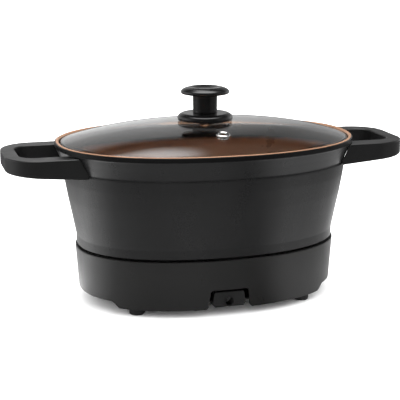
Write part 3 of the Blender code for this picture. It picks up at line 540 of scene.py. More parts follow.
def moulded(name, colour, rough, grain, spread=0.15, **more):
    """Rubber, silicone, ceramic or cable covering: mottled tone, grain and faint dust."""
    n = material_nodes(name)
    mottle = n.noise(60.0, 5.0, 0.6)
    fine = n.noise(grain, 3.0)
    tone = n.mix(n.remap(mottle, 0.3, 0.7), toned(colour, 1 - spread), toned(colour, 1 + spread))
    dust = n.remap(n.noise(180.0, 4.0), 0.6, 0.75, 0.0, 0.12)
    tone = n.mix(dust, tone, (0.35, 0.34, 0.32))
    gloss = n.remap(fine, 0.3, 0.7, rough - 0.06, rough + 0.06)
    return n.set(Base_Color=tone, Roughness=gloss, Normal=n.bump(fine, 0.00004), **more)


def clear(name, colour, haze=0.0):
    """Glass that lets light and shadow rays straight through, with faint smears in its gloss."""
    n = material_nodes(name)
    smear = n.noise(26.0, 4.0, 0.6, n.scaled((1.0, 2.2, 1.0)))
    tone = n.mix(n.remap(smear, 0.35, 0.75), colour, toned(colour, 0.985))
    gloss = n.remap(smear, 0.45, 0.8, haze, haze + 0.03)
    n.set(Base_Color=tone, Roughness=gloss, Transmission_Weight=1.0, IOR=1.5,
          Specular_IOR_Level=0.5)
    through = n.add("ShaderNodeBsdfTransparent", {"Color": toned(colour, 0.96)})
    shadow = n.add("ShaderNodeLightPath").outputs["Is Shadow Ray"]
    switch = n.add("ShaderNodeMixShader", {"Fac": shadow, 1: n.shader.outputs["BSDF"],
                                           2: through.outputs["BSDF"]})
    n.plug(switch.outputs["Shader"], n.tree.nodes["Material Output"].inputs["Surface"])
    return n.holder


CAST = coated("black_cast_coating", (0.0046, 0.0046, 0.0048), (0.0066, 0.0066, 0.0068), 0.31,
              1300.0, 0.00002)
# painted shade: the rim band gets a darker, less glossy copy of the cast coating
RIM_SHADE_COATING = coated("black_rim_coating_painted_shade", (0.0020, 0.0020, 0.0021), (0.0032, 0.0032, 0.0033), 0.30,
                   1300.0, 0.00001, specular=0.22)
PAINT = coated("black_base_paint", (0.0048, 0.0047, 0.0046), (0.0068, 0.0066, 0.0065), 0.34,
               1100.0, 0.00002)
PHENOLIC = coated("black_phenolic", (0.0040, 0.0040, 0.0041), (0.0058, 0.0058, 0.0059), 0.34,
                  1600.0, 0.00001, scuff=0.05)
KNOB_PHENOLIC = coated("glossy_phenolic", (0.0020, 0.0020, 0.0021), (0.0034, 0.0034, 0.0035), 0.20,
                       1600.0, 0.00001, scuff=0.04)
DULL_PLASTIC = coated("black_moulded_plastic", (0.0050, 0.0050, 0.0050), (0.0080, 0.0080, 0.0080),
                      0.52, 900.0, 0.00004, specular=0.40)
COPPER = lining("copper_ceramic_lining")
LID_GLASS = clear("tempered_glass", (0.975, 0.985, 0.985))
LAMP_GLASS = clear("lamp_glass", (0.90, 0.92, 0.92))
STEEL = metal("polished_steel", (0.78, 0.77, 0.76), 0.15, (260.0, 260.0, 260.0))
DARK_STEEL = metal("blued_steel", (0.36, 0.34, 0.33), 0.34, (500.0, 60.0, 500.0),
                   tint=(0.22, 0.17, 0.13))
SHEET_STEEL = metal("aluminised_sheet", (0.66, 0.66, 0.65), 0.33, (700.0, 24.0, 700.0))
PLATE_METAL = turned_metal("turned_aluminium", (0.63, 0.63, 0.64), 0.32, 0.0011)
BOTTOM_METAL = turned_metal("turned_steel", (0.50, 0.49, 0.48), 0.30, 0.0013)
RUBBER = moulded("black_rubber", (0.0070, 0.0070, 0.0070), 0.80, 900.0)
SILICONE = moulded("grey_silicone", (0.28, 0.28, 0.28), 0.48, 700.0, Subsurface_Weight=0.1)
CERAMIC = moulded("white_ceramic", (0.76, 0.73, 0.66), 0.50, 600.0, 0.06)
WIRE_BROWN, WIRE_RED, WIRE_BLUE = (moulded(name + "_cable", colour, 0.45, 500.0) for name, colour in (
    ("brown", (0.17, 0.065, 0.025)), ("red", (0.42, 0.028, 0.020)), ("blue", (0.030, 0.085, 0.34))))
PRINT = moulded("pad_print", (0.66, 0.66, 0.64), 0.55, 900.0, 0.05)
AMBER = clear("amber_lens", (0.95, 0.40, 0.08), haze=0.04)


# ---- Pot ----
def groove(inset, z, slope, depth):
    """Shallow ring groove in a profile: down, flat and up again."""
    flat = 0.0006
    return [(inset, z), (inset + slope, z + depth), (inset + slope + flat, z + depth),
            (inset + 2 * slope + flat, z)]


def make_pot():
    seam, behind = 0.0003, 0.0006
    hidden = [(inset - behind, z - behind) for inset, z, _ in POT_INSIDE[2:]]
    pot = loft("pot_wall", rounded(POT_OUTSIDE) + hidden)
    show(pot, "pot", "pot_cast", CAST, "pot_body")
    # the rim band in the darker copy of the cast coating: painted shade
    show(loft("rim_band", rounded(RIM_BAND, closed=True), ring=True), "pot", "pot_cast", RIM_SHADE_COATING,
         "pot_body")
    back = [(inset - seam, z - seam) for inset, z, _ in reversed(POT_INSIDE[1:])]
    back[-1] = (POT_INSIDE[0][0] + 0.0004, POT_INSIDE[0][1] - 0.0002)
    face = rounded(POT_INSIDE, steps=7)
    show(loft("pot_lining", back + face), "pot", "pot_lining", COPPER, "pot_body")

    low, high = CONTACT_LOW.z, CONTACT_HIGH.z
    profile = [(CONTACT_INSET, high), (CONTACT_INSET, low + 0.0012),
               (CONTACT_INSET + 0.0004, low + 0.0004), (CONTACT_INSET + 0.0012, low)]
    first, pitch, innermost = 0.0440, 0.0062, 0.108
    for k in range(11):
        profile += groove(first + pitch * k, low, 0.0004, 0.00035)
    contact = loft("contact_plate", [p for p in profile if p[0] < innermost])
    show(contact, "pot", "steel", BOTTOM_METAL, "pot_contact_plate")


def collar_envelope():
    """The space that the pot's wall takes out of the handles."""
    side = [(inset - HANDLE_SEAM, z) for inset, z, _ in POT_OUTSIDE[4:-1]]
    return loft("collar_envelope", side + [(side[-1][0], RIM_Z + 0.004)], steps=160)


def mirrored(points):
    """The same points in the opposite order on the other side of y = 0."""
    return [(x, -y) for x, y in reversed(points)]


def handle_outline():
    """Anticlockwise U, open towards the pot: outside and finger gap, each half and its mirror."""
    def side(y, corner_x):
        return [(HANDLE_ROOT_X + (corner_x - HANDLE_ROOT_X) * k / 6, y) for k in range(6)]

    outer_x, outer_y = HANDLE_END_X - HANDLE_CORNER_R, HANDLE_CORNER_R - HANDLE_HALF_Y
    inner_x = FINGER_GAP_END_X - FINGER_GAP_CORNER_R
    inner_y = FINGER_GAP_HALF_Y - FINGER_GAP_CORNER_R
    outside = side(-HANDLE_HALF_Y, outer_x) + arc(outer_x, outer_y, HANDLE_CORNER_R, -90, 0, 18)
    gap = side(FINGER_GAP_HALF_Y, inner_x) + arc(inner_x, inner_y, FINGER_GAP_CORNER_R, 90, 0, 12)
    return outside + mirrored(outside) + gap + mirrored(gap)


def handle_bottom_z(x, y):
    return HANDLE_UNDER_Z + (abs(x) - HANDLE_UNDER_X) * HANDLE_UNDER_SLOPE


def make_handles():
    for name, turn in (("handle_right", 0.0), ("handle_left", math.pi)):
        grip = plate(name + "_grip", handle_outline(), [], handle_bottom_z,
                     HANDLE_TOP_Z, HANDLE_EDGE_R, steps=6)
        place(grip, Matrix.Rotation(turn, 4, "Z"))
        bores = []
        for k, angle in enumerate(LUG_ANGLES):
            point = oval_frame(angle, LUG_SCREW_INSET)[0]
            if (point.x > 0) == (turn == 0.0):
                low, high = BORE_Z
                bore = turned(f"bore_{k}", [(0, low), (BORE_R, low), (BORE_R, high), (0, high)], 32)
                bores.append(place(bore, Matrix.Translation(point)))
        cut(grip, collar_envelope(), *bores)
        show(grip, "pot", "phenolic", PHENOLIC, name)


def screw(name, head_r, head_height, shank_r, length):
    """Pan-head screw pointing down from a head whose top is at z = 0, with a cross recess."""
    profile = [(0, 0), (head_r * 0.62, -head_height * 0.03), (head_r * 0.88, -head_height * 0.22),
               (head_r, -head_height * 0.55), (head_r, -head_height * 0.92),
               (head_r * 0.96, -head_height), (shank_r, -head_height),
               (shank_r, -length + shank_r), (shank_r * 0.4, -length), (0, -length)]
    body = turned(name, profile, 40)
    blades = []
    for k, (half_x, half_y) in enumerate(((0.62, 0.13), (0.13, 0.62))):
        outline = slot_outline(0, 0, half_x * head_r, half_y * head_r, 0.05 * head_r, 2)
        blades.append(plate(f"blade_{k}", outline, [], -head_height * 0.75, 0.001, 0.00002, 1))
    return cut(body, *blades)


def drive(piece, body, node, point, low, spin=0.0):
    """Stand a screw head down at a point, turned by spin."""
    stand = Matrix.Rotation(math.pi, 4, "X") @ Matrix.Rotation(spin, 4, "Z")
    place(piece, Matrix.Translation((point.x, point.y, low)) @ stand)
    show(piece, body, "steel", STEEL, node)


def make_screws():
    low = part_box("handle_screw_1")[0].z
    for number, angle in enumerate(LUG_ANGLES, start=1):
        drive(screw(f"handle_bolt_{number}", 0.0042, 0.0026, 0.0019, 0.0135), "pot",
              f"handle_screw_{number}", oval_frame(angle, LUG_SCREW_INSET)[0], low,
              0.4 + 1.1 * number)
    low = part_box("cover_screw_1")[0].z
    for number, angle in enumerate(COVER_SCREW_ANGLES, start=1):
        drive(screw(f"cover_bolt_{number}", 0.0036, 0.0022, 0.0017, 0.0150), "base",
              f"cover_screw_{number}", oval_frame(angle, COVER_SCREW_INSET)[0], low, 0.9 * number)
    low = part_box("knob_screw")[0].z
    drive(screw("knob_bolt", 0.0055, 0.0028, 0.0024, 0.0250), "lid", "knob_screw", Vector(), low)


# ---- Lid ----
def dome_z(share, edge_z, rise):
    return edge_z + rise * (1 - share ** LID_CROWN)


def vent_frame():
    """Middle of the vent on the dome and the direction it points."""
    middle = (VENT_LOW + VENT_HIGH) / 2
    share = abs(middle.y) / (RIM_B - LID_INSET)
    slope = LID_RISE * LID_CROWN * share ** (LID_CROWN - 1) / (RIM_B - LID_INSET)
    top = dome_z(share, LID_TOP_Z, LID_RISE)
    bottom = dome_z(share, LID_BOTTOM_Z, LID_INNER_RISE)
    return Vector((0, middle.y, (top + bottom) / 2)), Vector((0, -slope, 1)).normalized()


def make_glass():
    shares = [k / 26 for k in range(1, 25)] + [0.943, 0.962, 0.978]
    top = [(s, dome_z(s, LID_TOP_Z, LID_RISE)) for s in shares]
    bottom = [(s, dome_z(s, LID_BOTTOM_Z, LID_INNER_RISE)) for s in reversed(shares)]
    half = (LID_TOP_Z - LID_BOTTOM_Z) / 2
    edge_share = 0.989
    reach = 1.0 - edge_share
    middle_z = LID_BOTTOM_Z + half
    lift = (dome_z(edge_share, LID_TOP_Z, LID_RISE) - LID_TOP_Z) * 0.6
    edge = [(edge_share + reach * math.sin(a), middle_z + half * math.cos(a) + lift * math.cos(a / 2))
            for a in (math.radians(d) for d in range(8, 180, 18))]
    outline = [oval_frame(a, LID_INSET)[0] for a in turn_angles(OVAL_STEPS)]
    bm = bmesh.new()
    loops = [[bm.verts.new((p.x * s, p.y * s, z)) for p in outline] for s, z in top + edge + bottom]
    poles = [[bm.verts.new((0, 0, z))]
             for z in (LID_TOP_Z + LID_RISE, LID_BOTTOM_Z + LID_INNER_RISE)]
    skin(bm, poles[:1] + loops + poles[1:])
    glass = finish_mesh("lid_dome", bm, 60.0, flat_weight=False)
    centre, normal = vent_frame()
    bore = turned("vent_bore", [(0, -0.008), (0.0053, -0.008), (0.0053, 0.008), (0, 0.008)], 64)
    place(bore, facing(normal, centre))
    cut(glass, bore, angle=60.0)
    glass.modifiers.clear()
    show(glass, "lid", "glass", LID_GLASS, "lid_glass")


def make_vent():
    """Polished eyelet rolled over both faces of the glass."""
    centre, normal = vent_frame()
    profile = [(0.0042, -0.0029, 0.0004), (0.0042, 0.0028, 0.0012), (0.0058, 0.0041, 0.0014),
               (0.0077, 0.0033, 0.0012), (0.0078, 0.0021, 0.0004), (0.0050, 0.0021, 0),
               (0.0050, -0.0021, 0), (0.0068, -0.0021, 0.0003), (0.0068, -0.0029, 0.0004)]
    vent = turned("vent_eyelet", profile, 96, 6, ring=True, angle=50)
    place(vent, facing(normal, centre))
    show(vent, "lid", "steel", STEEL, "steam_vent")


def make_knob():
    top = KNOB_TOP_Z
    flange = FLANGE_HIGH.z
    seat = FLANGE_LOW.z
    grip = [(0, top - 0.0024, 0), (0.0080, top - 0.0022, 0.01), (0.0150, top - 0.0006, 0.006),
            (0.0180, top, 0.004), (0.0235, top - 0.0014, 0.012), (0.0272, top - 0.0038, 0.003),
            (0.0276, top - 0.0062, 0.0016), (0.0262, top - 0.0076, 0.0012),
            (0.0210, top - 0.0080, 0.0020), (0.0141, top - 0.0084, 0.0012),
            (0.0138, top - 0.0120, 0.02), (0.0136, flange + GAP, 0.0004),
            (0.0030, flange + GAP, 0), (0, flange + GAP, 0)]
    show(turned("knob_grip", grip, 128, 8), "lid", "phenolic", KNOB_PHENOLIC, "lid_knob")
    guard = [(0.0030, flange, 0), (0.0140, flange, 0), (0.0146, flange - 0.0003, 0.0002),
             (0.0152, flange, 0), (0.0262, flange - 0.0001, 0.006), (0.0302, flange - 0.0024, 0.004),
             (0.0313, flange - 0.0050, 0.002), (0.0309, seat + 0.0008, 0.0008),
             (0.0296, seat + 0.0001, 0.0005), (0.0272, seat, 0), (0.0262, seat + 0.0012, 0.0005),
             (0.0030, seat + 0.0012, 0)]
    show(turned("knob_guard", guard, 128, 7, ring=True), "lid", "phenolic", KNOB_PHENOLIC,
         "knob_flange")
    low, high = (corner.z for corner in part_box("knob_washer"))
    washer = [(0.0028, high, 0), (0.0100, high, 0.0003), (0.0100, low + 0.0002, 0.0005),
              (0.0070, low, 0.0006), (0.0060, low + 0.0004, 0.0003), (0.0028, low, 0.0002)]
    show(turned("washer_ring", washer, 64, 4, ring=True), "lid", "silicone", SILICONE,
         "knob_washer")


# ---- Base ----
def base_inset(z):
    share = (BASE_TOP_Z - z) / (BASE_TOP_Z - BASE_BOTTOM_Z)
    return BASE_TOP_INSET + share * (BASE_BOTTOM_INSET - BASE_TOP_INSET)


def notch_side():
    """Half of the notch as (x, z), from the middle of its top to the bottom edge."""
    corner = NOTCH_CORNER_R
    return ([(0, NOTCH_TOP_Z), (0.009, NOTCH_TOP_Z)]
            + arc(NOTCH_HALF_TOP - corner, NOTCH_TOP_Z - corner, corner, 90, 6, 8)
            + [(NOTCH_HALF_TOP + (NOTCH_HALF_BOTTOM - NOTCH_HALF_TOP) * k / 4,
                NOTCH_TOP_Z - corner - (NOTCH_TOP_Z - corner - BASE_BOTTOM_Z - 0.0032) * k / 4)
               for k in range(1, 5)]
            + [(NOTCH_HALF_BOTTOM + 0.0008, BASE_BOTTOM_Z + 0.0018),
               (NOTCH_HALF_BOTTOM + 0.0022, BASE_BOTTOM_Z + 0.0004),
               (NOTCH_HALF_BOTTOM + 0.0030, BASE_BOTTOM_Z)])


def bottom_edge_z(x, y):
    """Height of the shell's bottom edge: raised at both ends and over the cord gland."""
    ax = abs(x)
    if ax > HANDHOLD_X[0]:
        share = min(1.0, (ax - HANDHOLD_X[0]) / (HANDHOLD_X[1] - HANDHOLD_X[0]))
        return BASE_BOTTOM_Z + HANDHOLD_RISE * (0.5 - 0.5 * math.cos(math.pi * share))
    side = notch_side()
    if y < 0 and ax < side[-1][0]:
        for (x0, z0), (x1, z1) in zip(side, side[1:]):
            if x0 <= ax <= x1:
                return z0 + (z1 - z0) * (ax - x0) / max(1e-9, x1 - x0)
    return BASE_BOTTOM_Z


def angle_at_x(x, sign):
    """Angle of the point on the bottom outline at a given x, on the side of +Y or -Y."""
    low, high = 0.0, math.pi
    for _ in range(50):
        middle = (low + high) / 2
        if oval_frame(middle, BASE_BOTTOM_INSET)[0].x > x:
            low = middle
        else:
            high = middle
    return low if sign > 0 else 2 * math.pi - low


def shell_angles():
    """Even angles, without those near the notch, and exact ones at the notch and the steps."""
    step_x = [HANDHOLD_X[0] + (HANDHOLD_X[1] - HANDHOLD_X[0]) * k / 10 for k in range(11)]
    edge_x = notch_side()[-1][0] + 0.001
    angles = []
    for a in turn_angles(288):
        point = oval_frame(a, BASE_BOTTOM_INSET)[0]
        in_notch = point.y < 0 and abs(point.x) < edge_x
        in_step = HANDHOLD_X[0] - 0.001 < abs(point.x) < HANDHOLD_X[1] + 0.001
        if not in_notch and not in_step:
            angles.append(a)
    for side in (1, -1):
        angles += [angle_at_x(side * x, sign) for x in step_x for sign in (1, -1)]
        angles += [angle_at_x(side * x, -1) for x, _ in notch_side() if side > 0 or x > 0]
        angles.append(angle_at_x(side * edge_x, -1))
    return sorted(angles)


def make_shell():
    bm = bmesh.new()
    top, wall = BASE_TOP_Z, BASE_WALL
    columns = []
    for angle in shell_angles():
        point, _ = oval_frame(angle, BASE_BOTTOM_INSET)
        low = bottom_edge_z(point.x, point.y)
        outside = [(base_inset(low) + 0.0007, low), (base_inset(low) + 0.0002, low + 0.0002),
                   (base_inset(low), low + 0.0007)]
        rows = 10
        wall_low, wall_high = low + 0.0010, top - 0.0013
        outside += [(base_inset(z), z) for z in (wall_low + (wall_high - wall_low) * k / rows
                                                 for k in range(rows + 1))]
        lip = [(BASE_TOP_INSET + 0.0001, top - 0.0007), (BASE_TOP_INSET + 0.0004, top - 0.0002),
               (BASE_TOP_INSET + 0.0010, top), (BASE_MOUTH_INSET - 0.0006, top),
               (BASE_MOUTH_INSET - 0.0001, top - 0.0003), (BASE_MOUTH_INSET, top - 0.0008),
               (BASE_MOUTH_INSET, top - 0.0022), (BASE_TOP_INSET + wall, top - 0.0022)]
        inside = [(base_inset(z) + wall, z) for z in (wall_high - 0.002, (low + top) / 2, low + 0.001)]
        profile = outside + lip + inside + [(base_inset(low) + wall - 0.0004, low)]
        columns.append([bm.verts.new((*oval_frame(angle, inset)[0].xy, z)) for inset, z in profile])
    skin(bm, columns, ring=True)
    shell = finish_mesh("base_wall", bm, 40.0)
    high, ring_z = KNOB_BOSS_HEIGHT, KNOB_BOSS_HEIGHT - 0.0003
    boss = turned("boss", [(0, 0, 0), (0.0225, 0, 0), (0.0225, high, 0.0007), (0.0205, high, 0.0002),
                           (0.0202, ring_z, 0.0001), (0.0194, ring_z, 0.0001),
                           (0.0191, high, 0.0001), (0, high, 0)], 96, 4)
    place(boss, on_control_side(KNOB_FACE_Y - high))
    show(join("base_wall", shell, boss), "base", "base_paint", PAINT, "base_shell")


def make_deck():
    """Pressed pan in the mouth of the base."""
    lip_z, floor_z = DECK_HIGH.z, DECK_LOW.z
    profile = [(0.0235, lip_z - 0.0008, 0), (0.0235, lip_z, 0.0002), (0.0258, lip_z, 0.0008),
               (0.0268, floor_z + 0.0008, 0.0030), (0.0330, floor_z + 0.0008, 0.0006),
               (0.0334, floor_z + 0.0012, 0.0004), (0.0372, floor_z + 0.0012, 0.0004),
               (0.0376, floor_z + 0.0008, 0.0006), (0.0460, floor_z + 0.0008, 0.0003),
               (0.0460, floor_z, 0.0002), (0.0260, floor_z, 0.0030),
               (0.0250, lip_z - 0.0008, 0.0008)]
    deck = loft("deck_pan", rounded(profile, 4, closed=True), ring=True)
    show(deck, "base", "base_paint", PAINT, "base_deck")


def gland_outline():
    half_top, half_bottom = 0.0170, GLAND_HIGH.x
    low, high = GLAND_LOW.z, GLAND_HIGH.z
    right = ([(half_bottom - 0.0030, low), (half_bottom - 0.0007, low + 0.0022),
              (half_bottom, low + 0.0036)]
             + [(half_bottom + (half_top - half_bottom) * k / 4,
                 low + 0.0036 + (high - 0.0016 - low - 0.0036) * k / 4) for k in range(1, 4)]
             + arc(half_top - 0.0016, high - 0.0016, 0.0016, 8, 90, 4))
    return right + [(-u, v) for u, v in reversed(right)]


def make_gland():
    """Block that holds the cord, with a collared hole; it is modelled flat and stood up."""
    front, back = GLAND_LOW.y, GLAND_HIGH.y
    upright = Matrix.Rotation(math.pi / 2, 4, "X")
    block = plate("gland_block", gland_outline(), [circle(0, CORD_Z, CORD_R + 0.0004, 48)], -back,
                  -front, 0.0007, steps=3)
    place(block, upright)
    collar = [(0.0044, 0, 0), (0.0044, 0.0034, 0.0006), (0.0053, 0.0034, 0.0005),
              (0.0062, 0.0016, 0.0006), (0.0062, 0, 0)]
    collar = turned("gland_collar", collar, 64, 5, ring=True, angle=50)
    place(collar, facing((0, -1, 0), Vector((0, front + 0.0022, CORD_Z))))
    show(join("gland_block", block, collar), "base", "base_paint", DULL_PLASTIC, "cord_gland")


def make_cover():
    """Plate under the base: cooling slots, ribs, screw recesses and a raised frame."""
    low, high = COVER_LOW.z, COVER_HIGH.z
    width = GLAND_HIGH.x + GAP
    depth = GLAND_LOW.y + 0.0152
    outline = []
    for angle in turn_angles(160):
        point = oval_frame(angle, COVER_INSET)[0]
        if not (point.y < 0 and abs(point.x) < width + 0.001):
            outline.append((point.x, point.y))
    start = next(i for i, p in enumerate(outline) if p[1] < 0 and p[0] > 0)
    outline = outline[start:] + outline[:start]
    edge_y = outline[0][1]
    outline = outline + [(-width, edge_y), (-width, depth), (width, depth), (width, edge_y)]
    holes = [slot_outline(0.014 * (k - 2), row * 0.028, 0.002, 0.013, 0.0019)
             for row in (-1, 1) for k in range(5)]
    cover = plate("cover_plate", outline, holes, low, high, 0.0003, steps=2)
    parts = [cover]
    for row in (-1, 1):
        frame_out = slot_outline(0, row * 0.028, 0.0350, 0.0165, 0.004)
        frame_in = slot_outline(0, row * 0.028, 0.0338, 0.0153, 0.003)
        parts.append(plate(f"slot_frame_{row + 1}", frame_out, [frame_in], low - 0.0008,
                           low + 0.0002, 0.0003, steps=2))
    for x in (-0.075, -0.055, 0.055, 0.075):
        parts.append(plate(f"rib_{x}", slot_outline(x, 0, 0.0007, 0.050, 0.0006), [], low - 0.0012,
                           low + 0.0002, 0.0004, steps=2))
    for number, angle in enumerate(COVER_SCREW_ANGLES):
        point = oval_frame(angle, COVER_SCREW_INSET)[0]
        ring = turned(f"screw_seat_{number}", [
            (0.0041, 0.0002, 0), (0.0041, -0.0012, 0.0003), (0.0052, -0.0012, 0.0004),
            (0.0052, 0.0002, 0)], 40, 3, ring=True)
        parts.append(place(ring, Matrix.Translation((point.x, point.y, low))))
    show(join("cover_plate", *parts), "base", "phenolic", DULL_PLASTIC, "bottom_cover")


def make_feet():
    for number in range(1, 5):
        low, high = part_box(f"foot_{number}")
        middle = (low + high) / 2
        top = COVER_LOW.z - GAP
        radius = (high.x - low.x) / 2
        profile = [(0, top, 0), (radius - 0.0008, top, 0.0005), (radius, 0.0070, 0.001),
                   (radius, 0.0012, 0.0011), (radius - 0.0014, 0, 0.0010), (0.0048, 0, 0.0005),
                   (0.0044, 0.0012, 0.0004), (0.0016, 0.0014, 0.0003), (0, 0.0014, 0)]
        foot = turned(f"foot_pad_{number}", profile, 64, 5)
        place(foot, Matrix.Translation((middle.x, middle.y, 0)))
        show(foot, "base", "rubber", RUBBER, f"foot_{number}")


def make_heating_plate():
    low, high = PLATE_LOW.z, PLATE_HIGH.z
    bore_r = 0.0145
    bm = bmesh.new()
    profile = [(0.0479, low), (0.0475, low + 0.0006), (0.0475, high - 0.0010),
               (0.0479, high - 0.0003), (0.0487, high)]
    for k in range(8):
        profile += groove(0.0530 + 0.0058 * k, high, 0.0003, -0.0003)
    loops = oval_loops(bm, profile)
    directions = [oval_frame(a, profile[-1][0])[0].normalized() for a in turn_angles(OVAL_STEPS)]
    for r, z in ((bore_r + 0.0006, high), (bore_r, high - 0.0006), (bore_r, low)):
        loops.append([bm.verts.new((*(d.xy * r), z)) for d in directions])
    skin(bm, loops, ring=True)
    show(finish_mesh("hot_plate", bm, 28.0), "base", "plate", PLATE_METAL, "heating_plate")

    low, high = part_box("sensor_cap")
    radius = (high.x - low.x) / 2
    profile = [(0, high.z, 0), (0.0060, high.z, 0), (0.0064, high.z - 0.0003, 0.0001),
               (0.0070, high.z - 0.0003, 0.0001), (0.0074, high.z, 0),
               (radius - 0.0002, high.z, 0.0009), (radius, low.z, 0.0002),
               (radius - 0.0012, low.z, 0.0002), (radius - 0.0012, high.z - 0.0020, 0.0004),
               (0, high.z - 0.0020, 0)]
    show(turned("sensor_button", profile, 72, 5), "sensor", "plate", PLATE_METAL, "sensor_cap")


def make_spring():
    """Coil under the sensor button, shortened as the button is pressed."""
    low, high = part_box("sensor_spring")
    coil_r = high.x - SPRING_WIRE_R
    bottom = low.z + SPRING_WIRE_R
    rise = high.z - low.z - 2 * SPRING_WIRE_R
    steps = SPRING_TURNS * 48
    pitch = rise / (2 * math.pi * SPRING_TURNS)
    bm = bmesh.new()
    loops = []
    for k in range(steps + 1):
        turn = 2 * math.pi * SPRING_TURNS * k / steps
        out = Vector((math.cos(turn), math.sin(turn), 0))
        along = Vector((-coil_r * math.sin(turn), coil_r * math.cos(turn), pitch)).normalized()
        side = along.cross(out)
        centre = out * coil_r + Vector((0, 0, bottom + rise * k / steps))
        loops.append([bm.verts.new(centre + (out * math.cos(a) + side * math.sin(a)) * SPRING_WIRE_R)
                      for a in turn_angles(12)])
    skin(bm, loops, capped=True)
    spring = finish_mesh("sensor_coil", bm, flat_weight=False)
    show(spring, "base", "steel", STEEL, "sensor_spring")
    spring.modifiers.clear()
    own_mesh(spring)


# ---- Selector and lamp ----
def make_selector():
    """Pointer knob with a fluted skirt, a grip bar and an inlaid line, facing +Y."""
    radius = 0.0180
    depth = SELECTOR_HIGH.y - SELECTOR_LOW.y
    bm = bmesh.new()
    steps = 288
    profile = rounded([(0.0030, 0, 0), (radius, 0, 0.0003), (radius, 0.0014, 0.0003),
                       (radius - 0.0008, 0.0030, 0.0006), (radius - 0.0026, depth - 0.0045, 0.001),
                       (radius - 0.0042, depth - 0.0030, 0.0012), (0.0060, depth - 0.0032, 0.01)], 5)
    loops = []
    for r, z in profile:
        share = math.prod(min(1.0, max(0.0, room / 0.0012)) for room in (z - 0.0024,
                                                                        depth - 0.0042 - z))
        loop = []
        for angle in turn_angles(steps):
            flute = 0.00045 * share * (0.5 - 0.5 * math.cos(36 * angle)) ** 0.7
            loop.append(bm.verts.new(((r - flute) * math.cos(angle), (r - flute) * math.sin(angle), z)))
        loops.append(loop)
    skin(bm, loops, capped=True)
    knob = finish_mesh("knob_skirt", bm)
    bar = plate("grip_bar", slot_outline(0, 0, 0.0144, 0.0034, 0.0026, 8), [], depth - 0.0062, depth,
                0.0010, steps=5)
    stand = on_control_side(SELECTOR_LOW.y)
    piece = place(join("dial_knob", knob, bar), stand)
    show(piece, "selector", "phenolic", PHENOLIC, "selector_knob")
    line = plate("pointer_line", slot_outline(0.0088, 0, 0.0044, 0.00045, 0.0004), [],
                 depth - 0.0001, depth + 0.00006, 0.00003, steps=1)
    place(line, stand)
    show(line, "selector", "phenolic", PRINT)


def make_dial_marks():
    """Pad-printed ticks round the knob, every third one long."""
    ring_r = 0.0203
    stand = on_control_side(KNOB_FACE_Y)
    parts = []
    for k, angle in enumerate(math.radians(a) for a in range(0, 181, 20)):
        major = k % 3 == 0
        half = 0.0011 if major else 0.0005
        tick = plate(f"tick_{k}", slot_outline(ring_r, 0, half, 0.00028 if major else 0.00018,
                                               0.00012), [], -0.0001, 0.00008, 0.00002, steps=1)
        place(tick, stand @ Matrix.Rotation(angle, 4, "Z"))
        parts.append(tick)
    show(join("dial_ticks", *parts), "base", "base_paint", PRINT)


def make_lamp():
    middle = (LENS_LOW + LENS_HIGH) / 2
    _, normal = oval_frame(LAMP_ANGLE, base_inset(KNOB_Z))
    wall_point = oval_frame(LAMP_ANGLE, base_inset(middle.z))[0]
    centre = Vector((wall_point.x, wall_point.y, middle.z))
    stand = facing(normal, centre)
    lens = [(0, 0.0012, 0), (0.0010, 0.00112, 0), (0.0019, 0.0008, 0.001), (0.0027, 0.0002, 0.0006),
            (0.0029, -0.0050, 0.0002), (0, -0.0050, 0)]
    show(place(turned("lamp_lens", lens, 48, 6, angle=50), stand), "base", "amber", AMBER,
         "indicator_lens")
    bezel = [(0.0031, 0.0002, 0.0001), (0.0034, 0.0008, 0.0003), (0.0043, 0.0006, 0.0004),
             (0.0046, -0.0004, 0), (0.0031, -0.0004, 0)]
    show(place(turned("lamp_bezel", bezel, 48, 4, ring=True), stand), "base", "phenolic", PHENOLIC)


# ---- CAD nodes that keep their own shape ----
CARRIED_OVER = {
    "cord_clamp": DULL_PLASTIC, "terminal_block": CERAMIC, "wire_live": WIRE_BROWN,
    "wire_return": WIRE_RED, "wire_neutral": WIRE_BLUE, "heating_element": DARK_STEEL,
    "heat_reflector": SHEET_STEEL, "plate_post_1": DARK_STEEL, "plate_post_2": DARK_STEEL,
    "plate_post_3": DARK_STEEL, "sensor_holder": SHEET_STEEL,
    "thermal_fuse": CERAMIC, "selector_switch": DULL_PLASTIC, "selector_spindle": STEEL,
    "neon_lamp": LAMP_GLASS,
}


def dress_carried_over():
    for name, material in CARRIED_OVER.items():
        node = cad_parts[name]
        node.data.materials.clear()
        node.data.materials.append(material)


# ---- Camera, floor and light ----
CAMERA_PLACE = Vector((-0.3596, -1.2592, 0.4205))
CAMERA_TARGET = Vector((0, 0, 0.1073))
CAMERA_LENS = 105.57
CAMERA_SHIFT_X = -0.0125


def make_camera():
    data = bpy.data.cameras.new("camera")
    data.lens = CAMERA_LENS
    data.sensor_width = 36.0
    data.shift_x = CAMERA_SHIFT_X
    camera = bpy.data.objects.new("camera", data)
    camera.location = CAMERA_PLACE
    camera.rotation_euler = (CAMERA_TARGET - CAMERA_PLACE).to_track_quat("-Z", "Y").to_euler()
    bpy.context.scene.collection.objects.link(camera)
    bpy.context.scene.camera = camera


# azimuth (0 towards -Y, 90 towards +X) and brightness of what stands around the table
SURROUND = [(-180, 0.85), (-150, 0.90), (-125, 1.3), (-104, 2.3), (-84, 1.7), (-67, 0.60),
            (-45, 0.34), (-20, 0.36), (0, 0.36), (12, 0.26), (20, 0.12), (27, 0.08), (33, 0.40),
            (40, 0.80), (50, 0.92), (62, 0.85), (75, 0.80), (95, 0.90), (120, 1.5), (140, 0.75),
            (156, 0.38), (168, 0.85), (180, 0.85)]
